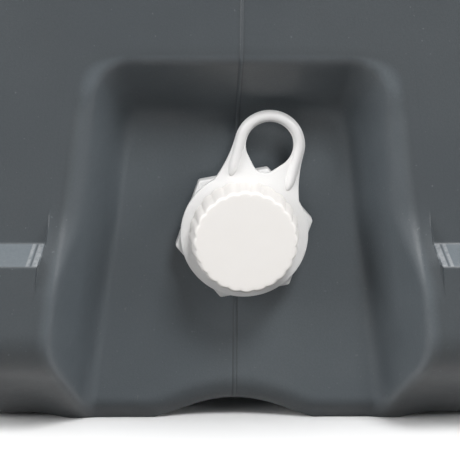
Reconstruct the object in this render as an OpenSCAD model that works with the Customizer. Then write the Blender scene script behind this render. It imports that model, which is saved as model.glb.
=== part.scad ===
// Portable camp toilet: waste tank with a drain outlet in a rear niche,
// slide valve, side latches, flush tank with bowl, seat, lid and piston pump.
// Millimetres. The rear faces -Y, the front +Y, and the floor is z = 0.

/* [Waste tank] */
// Width over the lower wall
tank_w = 366; // [350:2:390]
// Depth over the lower wall
tank_d = 420; // [410:2:450]
// Plan radius of the lower wall's corners
corner_r = 72; // [66:1:84]
// Height of the waste tank
waste_h = 226; // [222:1:240]
// Thickness of the moulded walls
tank_wall = 4; // [3:0.5:5]
// Height where the sloping ledge starts
ledge_z = 85.6; // [80:0.2:92]
// Height that the ledge climbs
ledge_rise = 8.7; // [6:0.1:12]
// Step from the lower wall in to the upper wall
ledge_in = 10; // [8:0.5:12]
// Height of the chamfered base
keel_h = 40; // [34:1:46]
// Run of the chamfered base
keel_run = 60; // [50:1:64]
// Rounding of the tank's top edge
top_r = 12; // [8:1:14]
// Blend between the chamfer and the wall
keel_blend = 12; // [6:1:20]

/* [Drain niche] */
// Half width of the niche's mouth at the floor
niche_half = 96; // [88:1:100]
// Narrowing of the niche per millimetre of height
niche_lean = 0.12; // [0.05:0.01:0.2]
// Slope of the side walls, width per depth
niche_draft = 0.56; // [0.4:0.02:0.7]
// Height where the niche's roof meets the lower wall's plane
niche_top = 190; // [184:0.2:196]
// Depth that the roof gains per millimetre down
niche_roof = 1.1; // [0.9:0.025:1.3]
// Depth of the back panel
niche_deep = 50; // [46:1:54]
// Blend of the niche's upper corners
niche_corner_blend = 30; // [20:2:50]
// Blend around the back panel
niche_floor_blend = 8; // [4:1:14]
// Blend of the niche's mouth
niche_mouth_blend = 3; // [2:0.5:8]
// Width of the dished margin beside the niche
margin_w = 9.8; // [8:0.2:11]
// Width of the dished margin above the niche
margin_top = 7; // [5:0.5:9]
// Depth of the dished margin at the niche's edge
margin_deep = 1.3; // [0.5:0.1:2]
// Height of the arch under the floor channel
arch_h = 9.6; // [6:0.2:12]
// Half width of the arch
arch_half = 37.5; // [30:0.5:44]
// Where the skids end
skid_out = 74; // [66:1:80]
// Lift of the base outside the skids
skid_relief = 3; // [1:0.5:5]

/* [Drain outlet] */
// Sideways place of the outlet
outlet_x = 3.2; // [-4:0.2:8]
// Height of the outlet
outlet_z = 92.5; // [86:0.5:98]
// Radius of the outlet bore
bore_r = 17; // [14:0.5:18]
// Outer radius of the outlet neck
neck_r = 20.9; // [20.4:0.1:21.6]
// Height of the boss under the nut
boss_h = 5; // [3:0.5:6]
// Corner radius of the lock nut
nut_r = 31.9; // [30:0.1:34]
// Thickness of the lock nut
nut_h = 6.5; // [5:0.5:8]
// Turn of the lock nut
nut_turn = 10.8; // [0:0.2:60]
// Radius of the ring plate
ring_r = 29.1; // [27.5:0.1:30]
// Thickness of the ring plate
ring_t = 2.6; // [2:0.1:3]
// Lean of the finger loop from upright
loop_lean = 15; // [0:1:40]
// Distance from the outlet axis to the loop's hole
loop_reach = 42.8; // [40:0.2:45]
// Radius of the loop's hole
loop_hole = 10.8; // [9:0.2:12]
// Thickness of the loop's bar
loop_bar = 5.2; // [4:0.2:5.6]
// Radius of the cap at its open end
cap_r = 25.1; // [24.4:0.1:26.5]
// Radius of the cap at its face
cap_face_r = 23.4; // [22.5:0.1:24]
// Height of the cap
cap_h = 16; // [14:0.5:18]
// Ribs round each screw cap
cap_ribs = 24; // [16:1:28]
// Turn of the drain cap's first valley
cap_turn = 9.3; // [0:0.1:15]

/* [Slide valve] */
// Radius of the throat
throat_r = 44; // [40:1:46]
// Place of the throat, forward of the middle
throat_y = 15; // [8:1:20]
// Thickness of the valve blade
blade_t = 4; // [3:0.5:5]
// Thickness of the valve base
base_t = 5; // [4:0.5:6]
// Thickness of the valve cover
cover_t = 4; // [3:0.5:5]
// Height of the lip seal
lip_h = 6; // [5:0.5:8]
// Radius of the pull handle
grip_bar_r = 8; // [6:0.5:8.5]

/* [Flush tank] */
// Height of the flush tank
flush_h = 158; // [150:1:180]
// Taper of its walls from bottom to top
flush_taper = 8; // [4:0.5:12]
// Rounding of its bottom edge
foot_r = 8; // [5:0.5:10]
// Rounding of its top edge
deck_r = 14; // [10:0.5:16]
// Half width of the bowl's mouth
bowl_a = 112; // [104:1:116]
// Half length of the bowl's mouth
bowl_b = 118; // [110:1:122]
// Middle of the seat and bowl, forward of the tank's middle
bowl_y = 38; // [30:1:42]
// Thickness of the bowl
bowl_wall = 3.5; // [2.5:0.25:4.5]

/* [Seat and lid] */
// Half width of the seat
seat_a = 155; // [148:1:158]
// Length of the seat forward of its middle
seat_front = 150; // [144:1:152]
// Length of the seat behind its middle
seat_rear = 186; // [182:1:188]
// Half width of the seat's hole
hole_a = 98; // [92:1:102]
// Half length of the seat's hole
hole_b = 110; // [104:1:114]
// Thickness of the seat
seat_t = 16; // [13:0.5:18]
// Height of the lid
lid_h = 20; // [17:0.5:24]
// Thickness of the lid
lid_wall = 3; // [2.5:0.25:4]
// Radius of the hinge pin
pin_r = 3.5; // [3:0.25:4]
// Radius of the hinge knuckles
knuckle_r = 8; // [7:0.25:8.5]

/* [Pump and fill] */
// Sideways place of the pump, and of the fill cap on the other side
pump_x = 112; // [108:1:116]
// Distance of the pump and fill cap from the flush tank's rear
pump_back = 60; // [56:1:64]
// Outer radius of the pump barrel
barrel_r = 19; // [17:0.5:20]
// Length of the pump barrel
barrel_l = 120; // [110:1:126]
// Radius of the pump rod
rod_r = 5; // [4:0.25:6]
// Radius of the pump knob
knob_r = 18; // [16:0.5:19]
// Outer radius of the fill neck
fill_r = 19.9; // [18:0.1:21]

/* [Latches] */
// Width of a latch lever
latch_w = 42; // [36:1:50]
// Length of a latch lever below its pin
latch_l = 50; // [48:1:52]
// Thickness of a latch lever
latch_t = 3.5; // [3:0.25:4]
// Radius of a latch pin
latch_pin_r = 2.5; // [2:0.25:3]

/* [Fits] */
// Clearance of a running fit, on the radius
run_gap = 0.06; // [0.03:0.01:0.09]
// Gap between pieces that move past each other
part_gap = 0.4; // [0.3:0.05:0.5]

/* [Hidden] */
$fn = 48;

slate = [0.30, 0.32, 0.34];
white = [0.92, 0.91, 0.89];
rubber = [0.10, 0.10, 0.11];
steel = [0.70, 0.71, 0.73];
eps = 0.01;
over = 1;

tank_x = tank_w / 2;
tank_y = tank_d / 2;
upper_x = tank_x - ledge_in;
upper_y = tank_y - ledge_in;
upper_corner = corner_r - ledge_in;
ledge_top = ledge_z + ledge_rise;
flat_x = tank_x - corner_r;
flat_y = tank_y - corner_r;

// Hand grips in both sides of the tanks
grip_half = 66;
grip_span = 78;
grip_deep = 26;
grip_bot = ledge_top + 3;
grip_top = grip_bot + 54;
grip_blend = 12;
grip_side = 1.4;
grip_roof = 3;
grip_ramp = 0.62;

// Outlet levels, counted outward from the tank's middle plane
panel = tank_y - niche_deep;
boss_r = nut_r * cos(30) - 1.2;
nut_lvl = panel + boss_h;
ring_lvl = nut_lvl + nut_h + part_gap;
cap_lvl = ring_lvl + ring_t + part_gap;
cap_top_t = 3;
seal_t = 1.5;
neck_lvl = cap_lvl + cap_h - cap_top_t - seal_t;
flange_t = 4;
gasket_t = 2;
flange_r = 29;
thread_d = 0.9;
thread_pitch = 5;
loop_arc = loop_hole + loop_bar / 2;
loop_leg = 16;
bead_sink = 0.25;
bead_r = loop_bar / 2 - bead_sink;

// Slide valve levels
chan_half = 82;
chan_rear = throat_y - throat_r - 38;
chan_r = 8;
valve_half = 78;
blade_half = throat_r + 14;
rail_in = blade_half + part_gap;
blade_room = blade_t + 2 * part_gap;
chan_floor = waste_h - lip_h - cover_t - blade_room - base_t;
blade_z = chan_floor + base_t + part_gap;
cover_z = chan_floor + base_t + blade_room;
lip_z = cover_z + cover_t;
lip_r = throat_r + 10;
valve_rear = chan_rear + 4;
valve_front = throat_y + 131;
cover_front = throat_y + 85;
blade_rear = throat_y - throat_r - 14;
handle_y = upper_y - 14;
handle_z = blade_z + blade_t / 2;
handle_l = 96;
neck_half = 30;
neck_tuck = 4;
scoop_r = 26;
scoop_l = 124;
screw_x = (rail_in + valve_half) / 2;
screw_r = 2;
screw_head_r = 4.5;
screw_head_h = 2.2;
screw_l = 12;
screw_ys = [valve_rear + 10, (valve_rear + cover_front) / 2, cover_front - 10];

// Flush tank levels
flush_z = waste_h + part_gap;
deck = flush_z + flush_h;
deck_x = upper_x - flush_taper;
deck_y = upper_y - flush_taper;
flush_corner = upper_corner;
flush_grip_bot = flush_z + 62;
flush_grip_top = flush_grip_bot + 48;
flush_grip_deep = 20;
spigot_r = throat_r + bowl_wall;
flange_h = 3;
flange_w = 11;

// Hinge, seat and lid levels
hinge_y = -(seat_rear - bowl_y + 18);
buffer_h = 8;
seat_z = deck + buffer_h;
seat_top = seat_z + seat_t;
hinge_z = seat_top;
lid_gap = 2.5;
lid_z = seat_top + lid_gap;
lid_skirt = 7;
dome_in = seat_a / 4;
dome_bend = dome_in / 3;
dome_edge = 3;
dome_drop = 1.5;
dome_r = 8;
lid_grow = lid_wall + 2.6;
ear_in = 18;
ear_t = 9;
lug_in = ear_in + ear_t + part_gap;
lug_t = 8.5;
pin_half = lug_in + lug_t + 1;
plate_t = 4;
plate_fore = 14;
plate_half = 30;
egg_front = 2.3;
egg_rear = 1.9;
buffer_r = 7;
buffer_tuck = 3;
buffer_spots = [[seat_a - 18, bowl_y + 32], [seat_a - 25, bowl_y - 104]];
lid_spots = [[seat_a - 75, bowl_y + 102], [seat_a - 59, bowl_y - 104]];

// Pump place and levels
pump_y = upper_y - pump_back;
barrel_in = barrel_r - 3;
collar_r = barrel_r + 4;
collar_h = 6;
knob_h = 20;
knob_z = deck + collar_h + part_gap;
piston_h = 12;
piston_gap = 0.4;
piston_z = deck - barrel_l + 14;
groove_h = 4;
groove_d = 2.4;
strainer_h = 12;
tube_r = 5;
tube_in = 3.5;
tube_z = deck - 24;
nozzle_r = 9;
aim_l = norm([pump_x, pump_y + bowl_y]);
aim_a = atan2(pump_y + bowl_y, -pump_x);
nozzle_at = aim_l - bowl_b - bowl_wall - 1;

// Fill opening levels
fill_bore = fill_r - 3.4;
fill_flange_r = fill_r + 6;
fill_flange_h = 2.5;
fill_up = 14;
fill_down = 12;
fill_cap_r = fill_r + 5;
fill_cap_top = 2.5;
fill_cap_z = deck + fill_flange_h + part_gap;
fill_seal_z = deck + fill_up;
fill_cap_h = fill_up + seal_t + fill_cap_top - fill_flange_h - part_gap;

// Latch levels
latch_z = waste_h - 26;
latch_x = upper_x + 6.2;
latch_knuckle = 5;
latch_lip = 5;
latch_lip_t = 4;
ear_gap = 0.4;
latch_ear = 6;
bracket_t = 2;
keeper_top = latch_z + latch_l - latch_lip_t - part_gap;
keeper_h = 8;
keeper_out = latch_x - latch_t / 2 - 1.6;

// Blending and lofting

function soft_max(a, b, k) = let (h = max(k - abs(a - b), 0) / k) max(a, b) + h * h * k / 4;
function soft_min(a, b, k) = -soft_max(-a, -b, k);
function ramp(t) = let (u = min(1, max(0, t))) u * u * (3 - 2 * u);
function crown(z, top, r) = let (u = max(0, z - top + r)) r - sqrt(max(0, r * r - u * u));
function rev(v) = [for (i = [len(v) - 1:-1:0]) v[i]];

function loft_sides(n, m) = [
    for (j = [0:m - 2])
        for (i = [0:n - 1])
            let (a = j * n + i, b = j * n + (i + 1) % n)
                each [[a, a + n, b + n], [a, b + n, b]]
];

function loft_wrap(n, m) = [
    for (i = [0:n - 1])
        let (a = (m - 1) * n + i, b = (m - 1) * n + (i + 1) % n, c = i, d = (i + 1) % n)
            each [[a, c, d], [a, d, b]]
];

// A closed solid from a stack of rings with flat ends, which fan out from one station
module loft(rings, fan = 0) {
    n = len(rings[0]);
    m = len(rings);
    low = [for (i = [0:n - 1]) (fan + i) % n];
    high = [for (i = [n:-1:1]) (m - 1) * n + (fan + i) % n];
    polyhedron([for (r = rings) each r], concat([low], loft_sides(n, m), [high]));
}

// A closed ring-shaped solid from a loop of rings
module loft_loop(rings) {
    n = len(rings[0]);
    m = len(rings);
    polyhedron([for (r = rings) each r], concat(loft_sides(n, m), loft_wrap(n, m)));
}

// Stations round a rounded rectangle, each a place and its outward direction
corner_n = 5;

function corner(cx, cy, r, from) = [
    for (i = [1:corner_n - 1])
        let (a = from + 90 * i / corner_n)
            [cx + r * cos(a), cy + r * sin(a), cos(a), sin(a)]
];

// Half a ring, from the middle of the left side round the rear to the right
function half_ring(hx, hy, r, rear_xs, side_ys) = concat(
    [for (y = side_ys) [-hx, -y, -1, 0]],
    corner(r - hx, r - hy, r, 180),
    [for (x = rear_xs) [x, -hy, 0, -1]],
    corner(hx - r, r - hy, r, 270),
    [for (y = rev(side_ys)) [hx, -y, 1, 0]]
);

function full_ring(half) = concat(
    half,
    [for (i = [len(half) - 2:-1:1]) let (s = half[i]) [s[0], -s[1], s[2], -s[3]]]
);

// Waste tank

function keel(z) = soft_max(0, (keel_h - z) * keel_run / keel_h, keel_blend);
function ledge(z) = ledge_in * min(1, max(0, (z - ledge_z) / ledge_rise));
function waste_inset(z) = keel(z) + ledge(z) + crown(z, waste_h, top_r);

function niche_side(x, z) = (niche_half - niche_lean * z - abs(x)) / niche_draft;
function niche_over(z) = (niche_top - z) * niche_roof;
function niche(x, z) = soft_min(
    soft_min(niche_side(x, z), niche_over(z), niche_corner_blend), niche_deep, niche_floor_blend);

// Beside the niche the ledge runs out into a long slope
slope_low = ledge_z - 7;
slope_h = 30;
slope_end = 4;
function beside(x, z) = ramp((niche_side(x, z) - ledge(z) + margin_w / niche_draft) / slope_end);
function rear_ledge(x, z) = let (t = beside(x, z))
    ledge(z) * (1 - t) + ledge_in * ramp((z - slope_low) / slope_h) * t;

// Share of the dished margin's depth at a rear place whose wall stands in by w
function margin(x, z, w) = min(1, max(0, 1 + min(
    (niche_side(x, z) - w) * niche_draft / margin_w,
    (niche_over(z) - w) / niche_roof / margin_top)));

function rear_in(x, z) = let (w = keel(z) + rear_ledge(x, z) + crown(z, waste_h, top_r))
    soft_max(w + margin_deep * margin(x, z, w), niche(x, z), niche_mouth_blend);

function pocket(y, z, bot, top, deep) = soft_max(
    0,
    soft_min(
        soft_min((grip_half - abs(y)) * grip_side, (top - z) * grip_roof, grip_blend),
        soft_min((z - bot) * grip_ramp, deep, grip_blend),
        grip_blend
    ),
    grip_blend / 2
);

function waste_in(s, x, z) =
    s[3] == -1 ? rear_in(x, z) :
    s[3] == 0 ? waste_inset(z) + pocket(s[1], z, grip_bot, grip_top, grip_deep) :
    waste_inset(z);

function floor_lift(x) =
    arch_h * pow(max(0, cos(90 * min(1, abs(x) / arch_half))), 1.2)
    + skid_relief * ramp((abs(x) - skid_out) / 20);
function floor_fade(z) = pow(max(0, 1 - z / keel_h), 2);

// Rear stations lean with the niche's side walls, so that rows of points follow its edges
panel_half = niche_half - niche_draft * (niche_deep + niche_floor_blend);
function rear_x(x, z) =
    abs(x) > flat_x - eps ? x :
    abs(x) > panel_half - eps ? x - sign(x) * niche_lean * z :
    x * (1 - niche_lean * z / panel_half);

function waste_point(s, z) = let (
        sx = s[3] == -1 ? rear_x(s[0], z) : s[0],
        w = waste_in(s, sx, z),
        x = sx - w * s[2]
    )
    [x, s[1] - w * s[3], z + floor_lift(x) * floor_fade(z)];

// Depths of the niche at its rear stations, from the margin in to the back panel
edge = niche_mouth_blend;
curve = niche_floor_blend;
niche_depths = [
    -margin_w / niche_draft, -edge, 0, edge, ledge_in, ledge_in + edge, niche_deep / 2,
    niche_deep - curve, niche_deep - curve / 3, niche_deep + curve / 3, niche_deep + curve
];
panel_n = 5;
rear_xs = concat(
    [for (d = niche_depths) niche_half - niche_draft * d],
    [for (i = [panel_n - 1:-1:1]) panel_half * i / panel_n]
);
waste_xs = concat([-flat_x], -rear_xs, [0], rev(rear_xs), [flat_x]);
side_n = 6;
waste_ys = concat([for (i = [0:side_n]) grip_span * i / side_n], [flat_y]);
waste_half = half_ring(tank_x, tank_y, corner_r, waste_xs, waste_ys);
waste_ring = full_ring(waste_half);

// Heights of the rows, close together where the chamfer, ledge and niche turn
function between(a, b, n) = [for (i = [1:n - 1]) a + (b - a) * i / n];
keel_end = keel_h * 1.2;
keel_foot = keel_h * (1 - niche_deep / keel_run);
keel_edge = edge * keel_h / keel_run;
panel_top = niche_top - niche_deep / niche_roof;
panel_edge = curve / niche_roof;
roof_top = niche_top - ledge_in / niche_roof;
roof_edge = edge / niche_roof;
top_steps = 4;
waste_zs = concat(
    [0, keel_foot - keel_edge, keel_foot, keel_foot + keel_edge],
    between(keel_foot + keel_edge, keel_h * 0.8, 4),
    [for (i = [0:4]) keel_h * (0.8 + 0.1 * i)],
    between(keel_end, slope_low, 2),
    [slope_low, ledge_z, ledge_top],
    between(ledge_top, slope_low + slope_h, 2),
    [slope_low + slope_h],
    between(slope_low + slope_h, panel_top - panel_edge, 2),
    [for (i = [-1, -1 / 3, 1 / 3, 1]) panel_top + panel_edge * i],
    between(panel_top + panel_edge, roof_top - roof_edge, 3),
    [roof_top - roof_edge, roof_top, roof_top + roof_edge, roof_top + margin_top],
    between(roof_top + margin_top, waste_h - top_r, 2),
    [for (i = [0:top_steps]) waste_h - top_r + top_r * sin(90 * i / top_steps)]
);

// The outside of the waste tank; its underside is split where the floor channel runs
module waste_skin() {
    n = len(waste_ring);
    m = len(waste_zs);
    s = len(waste_ys);
    h = len(waste_half);
    points = [for (z = waste_zs) each [for (p = waste_ring) waste_point(p, z)]];
    left = concat([for (i = [n - s:n - 1]) i], [for (i = [0:s]) i]);
    right = [for (i = [h - 1 - s:h - 1 + s]) i];
    strips = [
        for (i = [s:h - 2 - s])
            each [[i, i + 1, n - i - 1], [i, n - i - 1, n - i]]
    ];
    high = [for (i = [n:-1:1]) (m - 1) * n + (s + i) % n];
    polyhedron(points, concat([left, right], strips, loft_sides(n, m), [high]));
}

// The hollow of the waste tank, kept a wall's thickness clear of every recess
module waste_hollow() {
    ring = full_ring(half_ring(tank_x, tank_y, corner_r, [-flat_x, flat_x], [0, flat_y]));
    low = arch_h + tank_wall;
    zs = [
        low, keel_h * 0.75, keel_end + tank_wall, ledge_z - tank_wall, ledge_top,
        waste_h - tank_wall - top_r, waste_h - tank_wall
    ];
    // The hollow steps in below the ledge, so that the wall never thins there
    function room(z) = waste_inset(z - tank_wall) + tank_wall
        + (z > ledge_z - over ? ledge_in - ledge(z - tank_wall) : 0);
    difference() {
        loft([for (z = zs) [
            for (s = ring) let (w = room(z)) [s[0] - w * s[2], s[1] - w * s[3], z]
        ]], 2);
        niche_block(tank_wall);
        channel_block(tank_wall);
        scoop_block(tank_wall);
        for (side = [0, 1]) mirror([side, 0, 0]) grip_block(tank_wall);
    }
}

// The niche with flat faces, grown by a wall
module niche_block(t) {
    a = niche_half + t * norm([1, niche_draft, niche_lean]);
    b = niche_top + t * norm([1, 1 / niche_roof]);
    function wide(z, d) = a - niche_lean * z - niche_draft * d;
    function tall(d) = b - d / niche_roof;
    function plane(d) = [
        [-wide(0, d), d - tank_y, 0],
        [wide(0, d), d - tank_y, 0],
        [wide(tall(d), d), d - tank_y, tall(d)],
        [-wide(tall(d), d), d - tank_y, tall(d)]
    ];
    polyhedron(
        concat(plane(-over), plane(niche_deep + t)),
        [[3, 2, 1, 0], [4, 5, 6, 7], [0, 1, 5, 4], [1, 2, 6, 5], [2, 3, 7, 6], [3, 0, 4, 7]]
    );
}

module channel_block(t) {
    front = tank_y + over;
    translate([0, 0, chan_floor - t])
        linear_extrude(waste_h - chan_floor + t + over)
            difference() {
                translate([-chan_half - t, chan_rear - t])
                    square([2 * chan_half + 2 * t, front - chan_rear + t]);
                for (side = [-1, 1])
                    translate([side * (chan_half + t), chan_rear - t])
                        difference() {
                            square(2 * chan_r, center = true);
                            translate([-side * chan_r, chan_r]) circle(chan_r);
                        }
            }
}

module scoop_block(t) {
    translate([-scoop_l / 2 - t, upper_y, chan_floor])
        rotate([0, 90, 0])
            cylinder(h = scoop_l + 2 * t, r = scoop_r + t);
}

module grip_block(t) {
    y = grip_half + 2 * t;
    translate([upper_x, y, 0])
        rotate([90, 0, 0])
            linear_extrude(2 * y)
                polygon([
                    [over, grip_bot - 2 * t],
                    [-grip_deep - t, grip_bot + grip_deep / grip_ramp - t],
                    [-grip_deep - t, grip_top],
                    [over, grip_top + 2 * t]
                ]);
}

// Places children on the outlet's axis, facing outward from a level
module at_outlet(level) {
    translate([outlet_x, -level, outlet_z]) rotate([90, 0, 0]) children();
}

module waste_tank() {
    color(slate)
        difference() {
            union() {
                waste_skin();
                at_outlet(panel - tank_wall) cylinder(h = boss_h + tank_wall, r = boss_r);
            }
            waste_hollow();
            channel_block(0);
            scoop_block(0);
            translate([0, throat_y, chan_floor - tank_wall - over])
                cylinder(h = tank_wall + 2 * over, r = throat_r);
            at_outlet(panel - tank_wall - over)
                cylinder(h = boss_h + tank_wall + 2 * over, r = neck_r + run_gap);
        }
}

// Drain outlet

module outlet_fitting() {
    flange_lvl = panel - tank_wall - gasket_t - flange_t;
    plain = cap_lvl - flange_lvl;
    color(white)
        at_outlet(flange_lvl)
            difference() {
                union() {
                    cylinder(h = flange_t, r = flange_r);
                    cylinder(h = plain, r = neck_r);
                    cylinder(h = neck_lvl - flange_lvl, r = neck_r - thread_d);
                    for (k = [0:1])
                        translate([0, 0, plain + thread_pitch * (k + 0.45)])
                            rotate_extrude()
                                polygon([
                                    [neck_r - thread_d - over, -thread_pitch / 4],
                                    [neck_r - thread_d, -thread_pitch / 4],
                                    [neck_r, -thread_d / 4],
                                    [neck_r, thread_d / 4],
                                    [neck_r - thread_d, thread_pitch / 4],
                                    [neck_r - thread_d - over, thread_pitch / 4]
                                ]);
                }
                translate([0, 0, -over]) cylinder(h = neck_lvl - flange_lvl + 2 * over, r = bore_r);
            }
}

module outlet_gasket() {
    color(rubber)
        at_outlet(panel - tank_wall - gasket_t)
            difference() {
                cylinder(h = gasket_t, r = flange_r);
                translate([0, 0, -over]) cylinder(h = gasket_t + 2 * over, r = neck_r + run_gap);
            }
}

module outlet_nut() {
    soft = 0.6;
    color(white)
        at_outlet(nut_lvl)
            difference() {
                intersection() {
                    rotate(nut_turn) cylinder(h = nut_h, r = nut_r, $fn = 6);
                    cylinder(h = nut_h, r = nut_r - soft);
                }
                translate([0, 0, -over]) cylinder(h = nut_h + 2 * over, r = neck_r + run_gap);
            }
}

// Outline of the ring plate with its arms and finger hole, loop upward
module ring_outline() {
    arm = 22;
    curve = 61;
    low_r = 6;
    low_v = ring_r + low_r + 0.5;
    tip = asin((loop_hole - low_r) / (loop_reach - low_v));
    taper_in = 0.98;
    difference() {
        union() {
            circle(ring_r);
            translate([0, loop_reach]) circle(loop_hole + loop_bar);
            difference() {
                translate([-arm, 0]) square([2 * arm, loop_reach]);
                for (side = [-1, 1])
                    translate([side * (loop_hole + loop_bar + curve), loop_reach]) circle(curve);
            }
        }
        circle(neck_r + run_gap);
        translate([0, loop_reach]) circle(loop_hole);
        translate([0, low_v]) circle(low_r);
        polygon([
            for (side = [1, -1], k = side > 0 ? [0, 1] : [1, 0])
                let (r = taper_in * (k == 0 ? loop_hole : low_r), v = k == 0 ? loop_reach : low_v)
                    [side * r * cos(tip), v - r * sin(tip)]
        ]);
    }
}

module cap_ring() {
    color(white)
        at_outlet(ring_lvl)
            rotate(-loop_lean) {
                linear_extrude(ring_t) ring_outline();
                translate([0, loop_reach, ring_t - bead_sink]) {
                    rotate_extrude(angle = 180) translate([loop_arc, 0]) circle(bead_r);
                    for (side = [-1, 1])
                        translate([side * loop_arc, 0, 0])
                            rotate([90, 0, 0]) {
                                cylinder(h = loop_leg, r = bead_r);
                                translate([0, 0, loop_leg]) sphere(bead_r);
                            }
                }
            }
}

module drain_seal() {
    color(rubber) at_outlet(neck_lvl) cylinder(h = seal_t, r = neck_r - run_gap);
}

// A ribbed screw cap standing on its open end
module ribbed_cap(h, r_low, r_top, r_in, top_t, turn) {
    valley_r = 1.7;
    valley_low = 0.8;
    valley_top = 0.4;
    lip = 1.2;
    slant = (r_low - r_top) / h;
    lean = atan(slant - (valley_low - valley_top) / h);
    difference() {
        rotate_extrude()
            polygon([
                [0, 0],
                [r_low, 0],
                [r_top + lip * slant, h - lip],
                [r_top - lip / 3, h - lip / 3],
                [r_top - lip, h],
                [0, h]
            ]);
        for (k = [0:cap_ribs - 1])
            rotate(turn + 360 * k / cap_ribs)
                translate([r_low + valley_r - valley_low, 0, 0])
                    rotate([0, -lean, 0])
                        translate([0, 0, -2 * over])
                            cylinder(h = h + 4 * over, r = valley_r);
        translate([0, 0, -over]) cylinder(h = h - top_t + over, r = r_in);
    }
}

module drain_cap() {
    color(white)
        at_outlet(cap_lvl)
            ribbed_cap(cap_h, cap_r, cap_face_r, neck_r + run_gap, cap_top_t, cap_turn);
}

// Slide valve

module valve_base() {
    color(white)
        translate([0, 0, chan_floor])
            difference() {
                translate([-valve_half, valve_rear, 0])
                    cube([2 * valve_half, valve_front - valve_rear, base_t + blade_room]);
                translate([-rail_in, blade_rear - 2 * part_gap, base_t])
                    cube([2 * rail_in, tank_d, blade_room + over]);
                translate([0, throat_y, -over]) cylinder(h = base_t + 2 * over, r = throat_r);
                for (x = [-screw_x, screw_x], y = screw_ys)
                    translate([x, y, base_t + blade_room + cover_t - screw_l])
                        cylinder(h = screw_l, r = screw_r + run_gap);
            }
}

module valve_cover() {
    color(white)
        translate([0, 0, cover_z])
            difference() {
                translate([-valve_half, valve_rear, 0])
                    cube([2 * valve_half, cover_front - valve_rear, cover_t]);
                translate([0, throat_y, -over]) cylinder(h = cover_t + 2 * over, r = throat_r);
                for (x = [-screw_x, screw_x], y = screw_ys)
                    translate([x, y, -over]) cylinder(h = cover_t + 2 * over, r = screw_r + run_gap);
            }
}

module valve_seal() {
    color(rubber)
        translate([0, throat_y, lip_z])
            rotate_extrude()
                polygon([
                    [throat_r, 0],
                    [lip_r, 0],
                    [lip_r, lip_h / 3],
                    [spigot_r, lip_h],
                    [throat_r, lip_h]
                ]);
}

module valve_screws() {
    color(steel)
        for (x = [-screw_x, screw_x], y = screw_ys)
            translate([x, y, lip_z]) pan_screw(screw_r, screw_head_r, screw_head_h, screw_l);
}

// A pan-head screw with a cross slot, head up, its head resting at z = 0
module pan_screw(r, head_r, head_h, l) {
    slot = 1.2;
    translate([0, 0, -l]) cylinder(h = l + eps, r = r);
    difference() {
        cylinder(h = head_h, r1 = head_r, r2 = head_r * 0.8);
        for (a = [0, 90])
            rotate(a)
                translate([-head_r / 2, -slot / 2, head_h / 2])
                    cube([head_r, slot, head_h]);
    }
}

module valve_blade() {
    neck_end = handle_y - grip_bar_r + neck_tuck;
    shoulder = valve_front + 4;
    color(white)
        translate([0, 0, blade_z])
            union() {
                translate([-blade_half, blade_rear, 0])
                    cube([2 * blade_half, shoulder - blade_rear, blade_t]);
                translate([-neck_half, shoulder - over, 0])
                    cube([2 * neck_half, neck_end - shoulder + over, blade_t]);
            }
}

module valve_handle() {
    neck_end = handle_y - grip_bar_r + neck_tuck;
    color(white)
        difference() {
            union() {
                translate([-handle_l / 2, handle_y, handle_z])
                    rotate([0, 90, 0])
                        cylinder(h = handle_l, r = grip_bar_r);
                for (side = [-1, 1])
                    translate([side * handle_l / 2, handle_y, handle_z]) sphere(grip_bar_r);
            }
            translate([-neck_half, handle_y - 2 * grip_bar_r, blade_z])
                cube([2 * neck_half, neck_end - handle_y + 2 * grip_bar_r, blade_t]);
        }
}

// Latches

module latch_brackets() {
    for (side = [0, 1]) mirror([side, 0, 0]) latch_bracket();
}

module latch_bracket() {
    y0 = latch_w / 2 + ear_gap;
    half = y0 + latch_ear;
    reach = latch_x - upper_x;
    color(steel)
        difference() {
            union() {
                translate([upper_x, -half, latch_z - latch_knuckle - 3])
                    cube([bracket_t, 2 * half, 2 * latch_knuckle + 6]);
                for (y = [-half, y0]) {
                    translate([upper_x, y, latch_z - latch_knuckle])
                        cube([reach, latch_ear, 2 * latch_knuckle]);
                    translate([latch_x, y, latch_z])
                        rotate([-90, 0, 0])
                            cylinder(h = latch_ear, r = latch_knuckle);
                }
            }
            translate([latch_x, -half - over, latch_z])
                rotate([-90, 0, 0])
                    cylinder(h = 2 * half + 2 * over, r = latch_pin_r);
            translate([latch_x, -y0, latch_z])
                rotate([-90, 0, 0])
                    cylinder(h = 2 * y0, r = latch_knuckle + ear_gap);
        }
}

module latch_pins() {
    half = latch_w / 2 + ear_gap + latch_ear;
    color(steel)
        for (side = [-1, 1])
            translate([side * latch_x, -half, latch_z])
                rotate([-90, 0, 0])
                    cylinder(h = 2 * half, r = latch_pin_r);
}

module latch_lever() {
    color(white)
        difference() {
            union() {
                translate([latch_x, -latch_w / 2, latch_z])
                    rotate([-90, 0, 0])
                        cylinder(h = latch_w, r = latch_knuckle);
                translate([latch_x - latch_t / 2, -latch_w / 2, latch_z - latch_l])
                    cube([latch_t, latch_w, latch_l]);
                translate([latch_x, -latch_w / 2, latch_z - latch_l])
                    cube([latch_t / 2 + latch_lip, latch_w, latch_lip_t]);
            }
            translate([latch_x, -latch_w / 2 - over, latch_z])
                rotate([-90, 0, 0])
                    cylinder(h = latch_w + 2 * over, r = latch_pin_r + run_gap);
        }
}

module right_latch() {
    latch_lever();
}

module left_latch() {
    mirror([1, 0, 0]) latch_lever();
}

// Flush tank

function foot(z, low, r) = let (u = max(0, low + r - z)) r - sqrt(max(0, r * r - u * u));
function flush_inset(z) =
    foot(z, flush_z, foot_r) + flush_taper * (z - flush_z) / flush_h + crown(z, deck, deck_r);
function flush_in(s, z) =
    flush_inset(z) + (s[3] == 0 ? pocket(s[1], z, flush_grip_bot, flush_grip_top, flush_grip_deep) : 0);

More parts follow.
